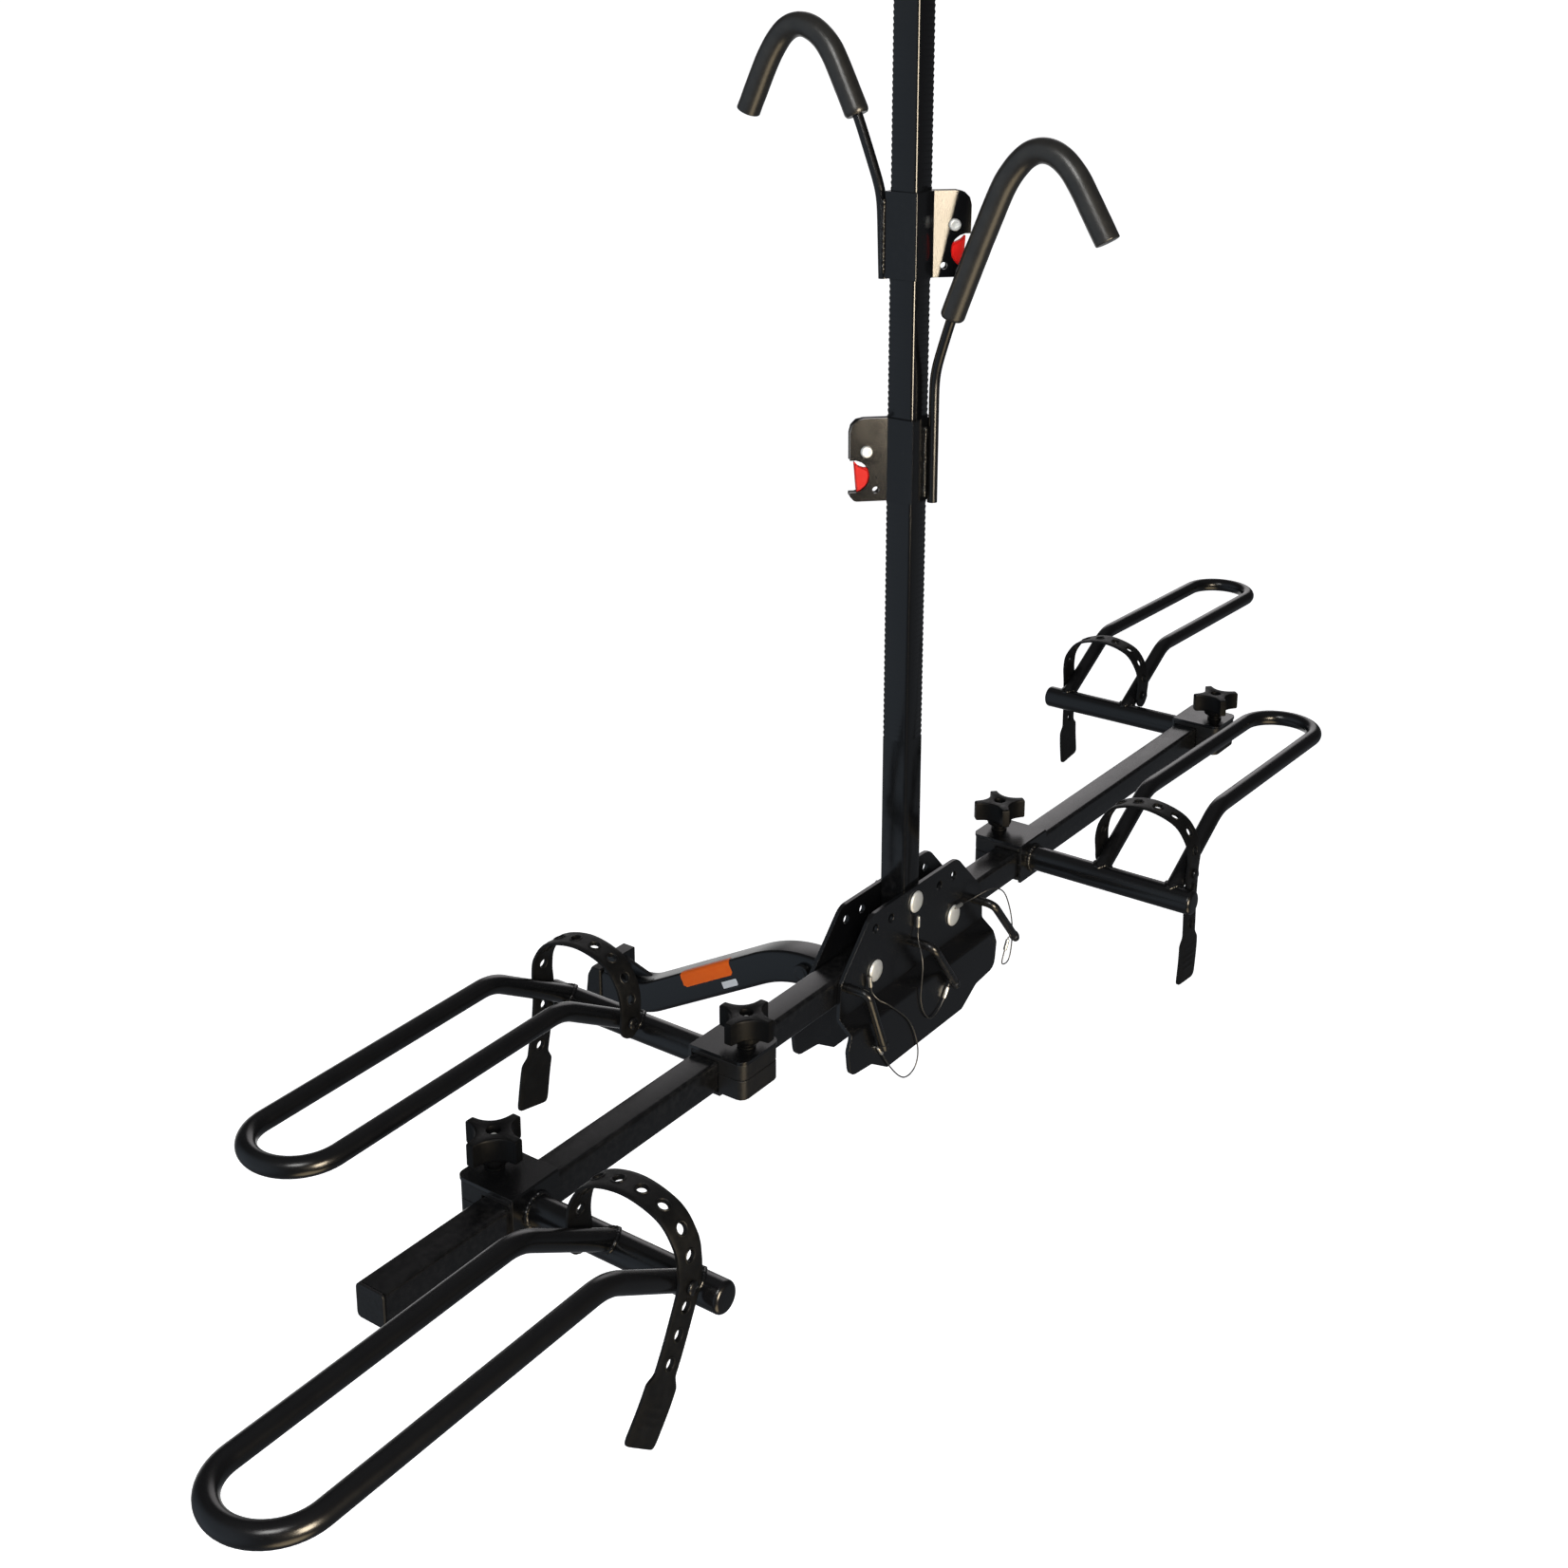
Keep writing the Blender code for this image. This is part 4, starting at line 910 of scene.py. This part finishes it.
def strap_frames(holder):
    """Points along the strap, each with its across direction and its outward direction."""
    near = LEG_NEAR - HOOP_R - 2.4 * MM
    far = LEG_FAR + HOOP_R + 2.4 * MM
    middle = (near + far) / 2
    tail_x, tail_z = TAILS[holder.name]
    arch = [
        (-near, 5), (-near, 22), (-near + 1 * MM, 43), (-near - 5 * MM, 64), (-near - 22 * MM, 83),
        (-middle - 1 * MM, 91), (-far + 20 * MM, 82), (-far + 3 * MM, 62), (-far - 1 * MM, 42), (-far, 22),
    ]
    points = [(STRAP_X, y, z * MM) for y, z in arch]
    end_x = tail_x * MM
    for share, out in ((0.25, 0), (0.5, 1.5), (0.75, 2.5), (1.0, 2)):
        ease = share ** 1.25
        points.append((
            STRAP_X + (end_x - STRAP_X) * ease, -far - out * MM, STUD_Z + (tail_z * MM - STUD_Z) * share
        ))
    path = resampled(flowing(points), 1.6 * MM)
    length = 0.0
    frames = []
    for i, point in enumerate(path):
        along = (path[min(i + 1, len(path) - 1)] - path[max(i - 1, 0)]).normalized()
        outward = Vector((0, point.y + middle, point.z - 20 * MM))
        if point.z < 60 * MM:
            outward = Vector((0, point.y + middle, 0))
        outward = (outward - along * outward.dot(along)).normalized()
        if i:
            length += (point - path[i - 1]).length
        frames.append((length, point, along.cross(outward).normalized(), outward))
    return frames


def build_strap(holder):
    """Rubber strap with rimmed round holes, a round near end and a ribbed paddle at its tail."""
    name = holder.name
    frames = strap_frames(holder)
    total = frames[-1][0]
    paddle = total - PADDLE_LONG

    def half_width(s):
        if s < STRAP_HALF:
            return math.sqrt(max(STRAP_HALF ** 2 - (STRAP_HALF - s) ** 2, (2 * MM) ** 2))
        grow = min(max((s - paddle + 10 * MM) / (12 * MM), 0.0), 1.0)
        grow = grow * grow * (3 - 2 * grow)
        shoulder = 1.0
        left = total - s
        if left < 7 * MM:
            shoulder = 0.84 + 0.16 * math.sqrt(max(1 - ((7 * MM - left) / (7 * MM)) ** 2, 0))
        return (STRAP_HALF + (PADDLE_HALF - STRAP_HALF) * grow) * shoulder

    def thickness(s):
        if s > paddle + 6 * MM:
            rib = max(0.0, math.sin((s - paddle) / (7.2 * MM) * 2 * math.pi))
            ends = 1.0 if paddle + 10 * MM < s < total - 12 * MM else 0.0
            return STRAP_THICK + 0.35 * MM + 0.9 * MM * rib * ends
        return STRAP_THICK

    across = 12
    work = bmesh.new()
    rings = []
    for s, point, wide, outward in frames:
        hw, th = half_width(s), thickness(s)
        top, under = [], []
        for k in range(across + 1):
            v = (2 * k / across - 1) * hw
            inner = 1.0 if abs(v) < hw * 0.86 else 0.72
            relief = th if abs(v) < PADDLE_HALF * 0.66 or s < paddle else min(th, 1.9 * MM)
            spot = point + wide * v
            top.append(work.verts.new(holder.at(*(spot + outward * relief * inner))))
            under.append(work.verts.new(holder.at(*(spot - outward * STRAP_THICK * inner))))
        rings.append(top + under[::-1])
    for one, other in zip(rings, rings[1:]):
        for i in range(-1, len(one) - 1):
            work.faces.new((one[i], one[i + 1], other[i + 1], other[i]))
    for ring in (rings[0], rings[-1]):
        for k in range(across):
            work.faces.new((ring[k], ring[-1 - k], ring[-2 - k], ring[k + 1]))
    bmesh.ops.recalc_face_normals(work, faces=work.faces)

    arch_end = next(s for s, point, wide, outward in frames if point.z < STUD_Z and s > 100 * MM)
    spots = []
    s = 42 * MM
    while s < paddle - 10 * MM:
        if abs(s - arch_end) > 12 * MM:
            spots.append(s)
        s += STRAP_PITCH
    cutters = bmesh.new()
    rims = bmesh.new()
    for spot in spots:
        s, point, wide, outward = min(frames, key=lambda f: abs(f[0] - spot))
        along = outward.cross(wide)
        loop = [(along * math.cos(a) + wide * math.sin(a)) * STRAP_HOLE_R for a in circle(32)]
        skin(cutters, [[holder.at(*(point + p + outward * h)) for p in loop] for h in (-6 * MM, 6 * MM)])
        for side in (1, -1):
            rim = [holder.at(*(point + p * 1.24 + outward * side * 1.5 * MM)) for p in loop]
            tube(rims, rim, 0.9 * MM, 8, True)
    piece = new_piece(f"{name}_strap_band", work, RUBBER)
    cut_out(piece, cutters, math.radians(50))
    attach(piece, holder.body, f"{name}_strap")
    attach(new_piece(f"{name}_strap_rims", rims, RUBBER), holder.body)


# ---- hooks on the mast

LOWER_HOOK = ((24.75, -45), (24.75, 88), (43, 146), (70, 214), (100, 286), (137.5, 332), (174, 298), (211, 236))
UPPER_HOOK = ((24.75, -45), (28, 39), (57, 113), (92, 182), (134, 213), (166, 166), (192, 110))
FOAM_FROM = {"lower": 146, "upper": 113}


def build_hook(name, points, rod_side):
    body = f"{name}_hook"
    low, high = box(f"{name}_sleeve")
    base_z = (low.z + high.z) / 2
    rod = centre(f"{name}_hook_rod")
    refined(f"{name}_sleeve", GLOSSY_POWDER, body, 0.8 * MM, 3)

    apex = max(z for y, z in points)
    corners = [
        ((rod.x, rod_side * y * MM, base_z + z * MM), (30 if z == apex else 48) * MM) for y, z in points
    ]
    path = smoothed(resampled(fillet(corners, 14), 2 * MM), 60)
    start = next(i for i, p in enumerate(path) if p.z > base_z + FOAM_FROM[name] * MM)
    work = tube(bmesh.new(), path[:start + 12], HOOK_ROD_R, 28)
    attach(new_piece(f"{name}_hook_rod_finished", work, POWDER), body, f"{name}_hook_rod")

    foam, shares = domed(path[start:], FOAM_R, 1.3 * MM, 4)
    mouth = [0.86, 0.97]
    shares = mouth + shares[len(mouth):]

    def swell(i):
        return shares[i] * (1 + 0.018 * noise.noise(Vector((i * 0.13, FOAM_FROM[name], 0))))

    piece = new_piece(f"{name}_foam_finished", tube(bmesh.new(), foam, FOAM_R, 36, swell=swell), FOAM)
    attach(piece, body, f"{name}_foam_grip")

    work = bmesh.new()
    for x, rise in ((-8.5, 0.4), (8.5, 0.4)):
        line = [
            Vector((rod.x + x * MM, rod_side * (19.9 + rise) * MM, base_z + z * MM)) for z in (-38, 0, 35)
        ]
        bead(work, line, 2.6 * MM, x + base_z, False)
    attach(new_piece(f"{name}_hook_weld", work, GLOSSY_POWDER), body)

    lever = centre(f"{name}_lever_bolt")
    radial = Vector((lever.x, lever.y, 0)).normalized()
    across = Vector((0, 0, 1)).cross(radial)
    build_lever(name, lever, radial, across)


def build_lever(name, pivot, radial, across):
    """Red lever in the ear's notch, its finger pad and its stepped bolt."""
    body = f"{name}_lever"
    refined(f"{name}_release_lever", RED, body, 0.7 * MM, 3)
    work = bmesh.new()
    head = in_mm((
        (0, 1.2), (2.6, 1.2), (2.8, 3.2), (4, 3.5), (5.4, 3), (6.1, 1.9), (6.2, 0), (3, 0), (3, -5.5), (0, -5.5),
    ))
    for way in (1, -1):
        turned(work, head, pivot + across * way * 5.6 * MM, across * way, 36)
    attach(new_piece(f"{name}_lever_bolt_finished", work, ZINC), body, f"{name}_lever_bolt")
    pad = fillet([
        (Vector((u, z, 0)) * MM, r * MM) for u, z, r in (
            (11.8, -12, 1), (8.2, -15.1, 1), (-1.4, -19.6, 3), (-2.6, -25.7, 4), (-1.6, -31.2, 4), (1.2, -36.1, 3),
            (5.5, -39.7, 2), (9.3, -41, 0.8),
        )
    ], 5, True)
    rings = []
    for depth, inset in ((-5.1, 0.9), (-4.2, 0), (4.2, 0), (5.1, 0.9)):
        middle = Vector((5, -26, 0)) * MM
        ring = []
        for p in pad:
            q = p + (middle - p).normalized() * inset * MM
            ring.append(pivot + radial * q.x + Vector((0, 0, q.y)) + across * depth * MM)
        rings.append(ring)
    piece = new_piece(f"{name}_lever_pad", skin(bmesh.new(), rings), RED)
    attach(piece, body)


# ---- lock pins and lanyards

def pin_path(name):
    """Shank, bend and hanging handle of a lock pin, from its CAD box."""
    low, high = box(f"{name}_lock_pin")
    hole = {"left": -126 * MM, "mast": 0.0, "right": 126 * MM}[name]
    front = low.y + PIN_R
    hang = {"left": Vector((24, 0, -58)), "mast": Vector((53, 0, -71)), "right": Vector((58, 0, -69))}[name]
    hang.normalize()
    end = Vector((hole, front, 0)) + hang * 85 * MM
    return fillet([((hole, high.y, 0), 0), ((hole, front, 0), 9 * MM), (end, 0)], 14), end, hang


def build_pin(name):
    path, end, hang = pin_path(name)
    path = resampled(path, 1.5 * MM)
    path, shares = domed(path, PIN_R, 3.2 * MM, 6)
    work = tube(bmesh.new(), path, PIN_R, 28, swell=lambda i: shares[i])
    body = f"{name}_pin"
    attach(new_piece(f"{name}_lock_pin_finished", work, VINYL), body, f"{name}_lock_pin")
    collar = end - hang * 9 * MM
    work = turned(bmesh.new(), in_mm(((4.8, -2.6), (5.6, -2.2), (5.6, 2.2), (4.8, 2.6))), collar, hang, 28)
    attach(new_piece(f"{name}_pin_band", work, VINYL), body)
    return collar


LANYARDS = {
    "left": ((-94, -24.5, 2), (-92, -24.5, -10), (-90, -26, -20), (-86, -32, -28), (-74, -38.6, -38),
             (-36, -38.5, -74), (-19, -38.5, -112), (-24, -38.5, -134), (-46, -38.5, -136), (-72, -38.5, -112),
             (-88, -39, -88)),
    "mast": ((0, -24.5, 33), (0, -24.5, 19), (-2, -26, 6), (-12, -38.5, -16),
             (-14, -38.5, -60), (4, -38.5, -88), (26, -38.5, -84), (44, -39, -74)),
    "right": ((76, -24.5, 10), (90, -24.5, 10), (106, -26, 9), (132, -36, 14), (158, -38.5, 2),
              (176, -38.5, -30), (182, -38.5, -62), (176, -38.5, -90), (160, -38.5, -88), (150, -39, -66)),
}


def build_lanyard(name, collar):
    """Fine wire from the pivot bolt to the pin's handle, with a ferrule at each end."""
    points = [Vector(p) * MM for p in LANYARDS[name]]
    points = points[:-1] + [collar + Vector((-3 * MM, 5.6 * MM, -2 * MM))]
    path = resampled(flowing(points), 1.2 * MM)
    wire = new_piece(f"{name}_lanyard_wire", tube(bmesh.new(), path, 0.8 * MM, 10), WIRE)
    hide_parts(f"{name}_lanyard")
    work = bmesh.new()
    for near, far in ((1, 12), (len(path) - 15, len(path) - 4)):
        start, end = path[near], path[far]
        axis = end - start
        turned(work, [
            (1.2 * MM, 0), (2.1 * MM, 0.4 * MM), (2.3 * MM, 1.2 * MM), (2.3 * MM, axis.length - 1.2 * MM),
            (2.1 * MM, axis.length - 0.4 * MM), (1.2 * MM, axis.length),
        ], start, axis, 16)
    ferrules = new_piece(f"{name}_lanyard_ferrules", work, FERRULE)
    for piece in (wire, ferrules):
        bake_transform(piece)


# ---- stage

def area_light(name, location, target, size, power, colour, seen):
    """A soft box. seen="mirrored" lights only by reflection, seen="diffuse" only by scattering."""
    light = bpy.data.lights.new(name, "AREA")
    light.shape = "RECTANGLE"
    light.size, light.size_y = size
    light.energy = power
    light.color = colour
    item = linked(name, light)
    item.location = Vector(location) + SHIFT
    aim = Vector(target) - Vector(location)
    item.rotation_euler = aim.to_track_quat("-Z", "Y").to_euler()
    item.visible_diffuse = seen != "mirrored"
    item.visible_glossy = seen != "diffuse"


ROOM_ABOVE = (0.055, 0.055, 0.058)
# What else the rack mirrors: a direction, the cosines where it starts and is full, and a colour
ROOM_LOBES = (
    ((0, 0, -1), -0.05, 0.35, (0.11, 0.118, 0.13)),           # the floor all round
    ((0, 0, 1), 0.55, 0.95, (0.13, 0.13, 0.135)),             # the ceiling
    ((-0.85, 0.53, 0.05), 0.45, 0.95, (0.34, 0.40, 0.47)),    # a pale window side
    ((0.84, 0.446, 0.309), 0.94, 0.985, (1.30, 1.26, 1.28)),  # the wall behind the rack
    ((0.60, 0.72, -0.34), 0.82, 0.97, (0.85, 0.85, 0.85)),    # the lit floor behind it
    ((-0.25, -0.60, -0.76), 0.91, 0.975, (3.4, 2.7, 1.7)),    # a warm floor below the camera
)


def studio_world():
    """White to the camera, and a dim room with a few lit parts to the rack's surfaces."""
    world = bpy.data.worlds.new("studio")
    bpy.context.scene.world = world
    n = Tree(world)
    n.tree.nodes.clear()
    coords = n.add("ShaderNodeTexCoord").outputs["Generated"]
    room = n.add("ShaderNodeRGB").outputs["Color"]
    room.default_value = (*ROOM_ABOVE, 1.0)
    for direction, start, full, colour in ROOM_LOBES:
        dot = n.add("ShaderNodeVectorMath", operation="DOT_PRODUCT")
        dot.inputs[1].default_value = Vector(direction).normalized()
        n.link(coords, dot.inputs[0])
        lobe = n.add("ShaderNodeMapRange", interpolation_type="SMOOTHSTEP")
        lobe.inputs["From Min"].default_value = start
        lobe.inputs["From Max"].default_value = full
        n.link(dot.outputs["Value"], lobe.inputs["Value"])
        mixed = n.add("ShaderNodeMix", data_type="RGBA")
        n.link(lobe.outputs["Result"], mixed.inputs["Factor"])
        n.link(room, mixed.inputs["A"])
        mixed.inputs["B"].default_value = (*colour, 1.0)
        room = mixed.outputs["Result"]
    shown = n.add("ShaderNodeBackground")
    shown.inputs["Color"].default_value = (1, 1, 1, 1)
    mirrored = n.add("ShaderNodeBackground")
    n.link(room, mirrored.inputs["Color"])
    either = n.add("ShaderNodeMixShader")
    n.link(n.add("ShaderNodeLightPath").outputs["Is Camera Ray"], either.inputs["Fac"])
    n.link(mirrored.outputs["Background"], either.inputs[1])
    n.link(shown.outputs["Background"], either.inputs[2])
    n.link(either.outputs["Shader"], n.add("ShaderNodeOutputWorld").inputs["Surface"])


def build_floor():
    """A very wide pale floor that meets the white backdrop without a line."""
    work = bmesh.new()
    bmesh.ops.create_grid(work, x_segments=8, y_segments=8, size=60.0)
    mesh = bpy.data.meshes.new("floor")
    work.to_mesh(mesh)
    work.free()
    floor = linked("floor", mesh)
    floor.location = (0, 0, CAD_BOX[0][2] - 0.42)
    pale = Nodes("pale_floor")
    colour = pale.blend_colours(pale.noise(1.5, 2), (0.86, 0.86, 0.86), (0.88, 0.88, 0.88))
    mesh.materials.append(pale.finish(
        colour, pale.spread(pale.noise(8, 3), 0.85, 0.95), pale.bump(pale.noise(60, 2), 0.02, 0.001), specular=0.1
    ))
    pale.shader.inputs["Emission Color"].default_value = (1, 1, 1, 1)
    pale.shader.inputs["Emission Strength"].default_value = 0.95
    floor.visible_glossy = False
    floor.visible_diffuse = False


def build_stage():
    """Backdrop, floor, soft lights and the camera."""
    studio_world()
    build_floor()
    area_light("key", (-2.05, -0.96, 2.26), (0, 0, 0.1), (0.9, 0.9), 30, (1.0, 0.99, 0.97), "mirrored")
    area_light("warm_box", (-1.17, -2.76, 0.5), (0, 0, 0.3), (0.95, 1.35), 150, (1.0, 0.84, 0.62), "mirrored")
    area_light("fill", (-2.6, -1.9, 1.5), (0, 0, 0.2), (1.6, 1.6), 105, (1.0, 1.0, 1.0), "diffuse")

    camera = bpy.data.cameras.new("camera")
    camera.lens = 47.83
    camera.sensor_width = 36
    camera.shift_y = -0.1705
    camera.clip_start = 0.05
    view = linked("camera", camera)
    view.location = Vector((-1.7313, -1.1020, 1.0624)) + SHIFT
    view.rotation_euler = (math.radians(73.986), 0, math.radians(-54.039))
    bpy.context.scene.camera = view
    bpy.context.scene.view_settings.view_transform = "Standard"


build_bracket()
build_mast()
build_arm("left", -1)
build_arm("right", 1)
for holder_name in TAILS:
    unit = Holder(holder_name)
    build_hoop_frame(unit)
    build_jaws(unit)
    build_knob(unit)
    build_strap(unit)
build_hook("lower", LOWER_HOOK, -1)
build_hook("upper", UPPER_HOOK, 1)
for pin_name in LANYARDS:
    build_lanyard(pin_name, build_pin(pin_name))
build_stage()
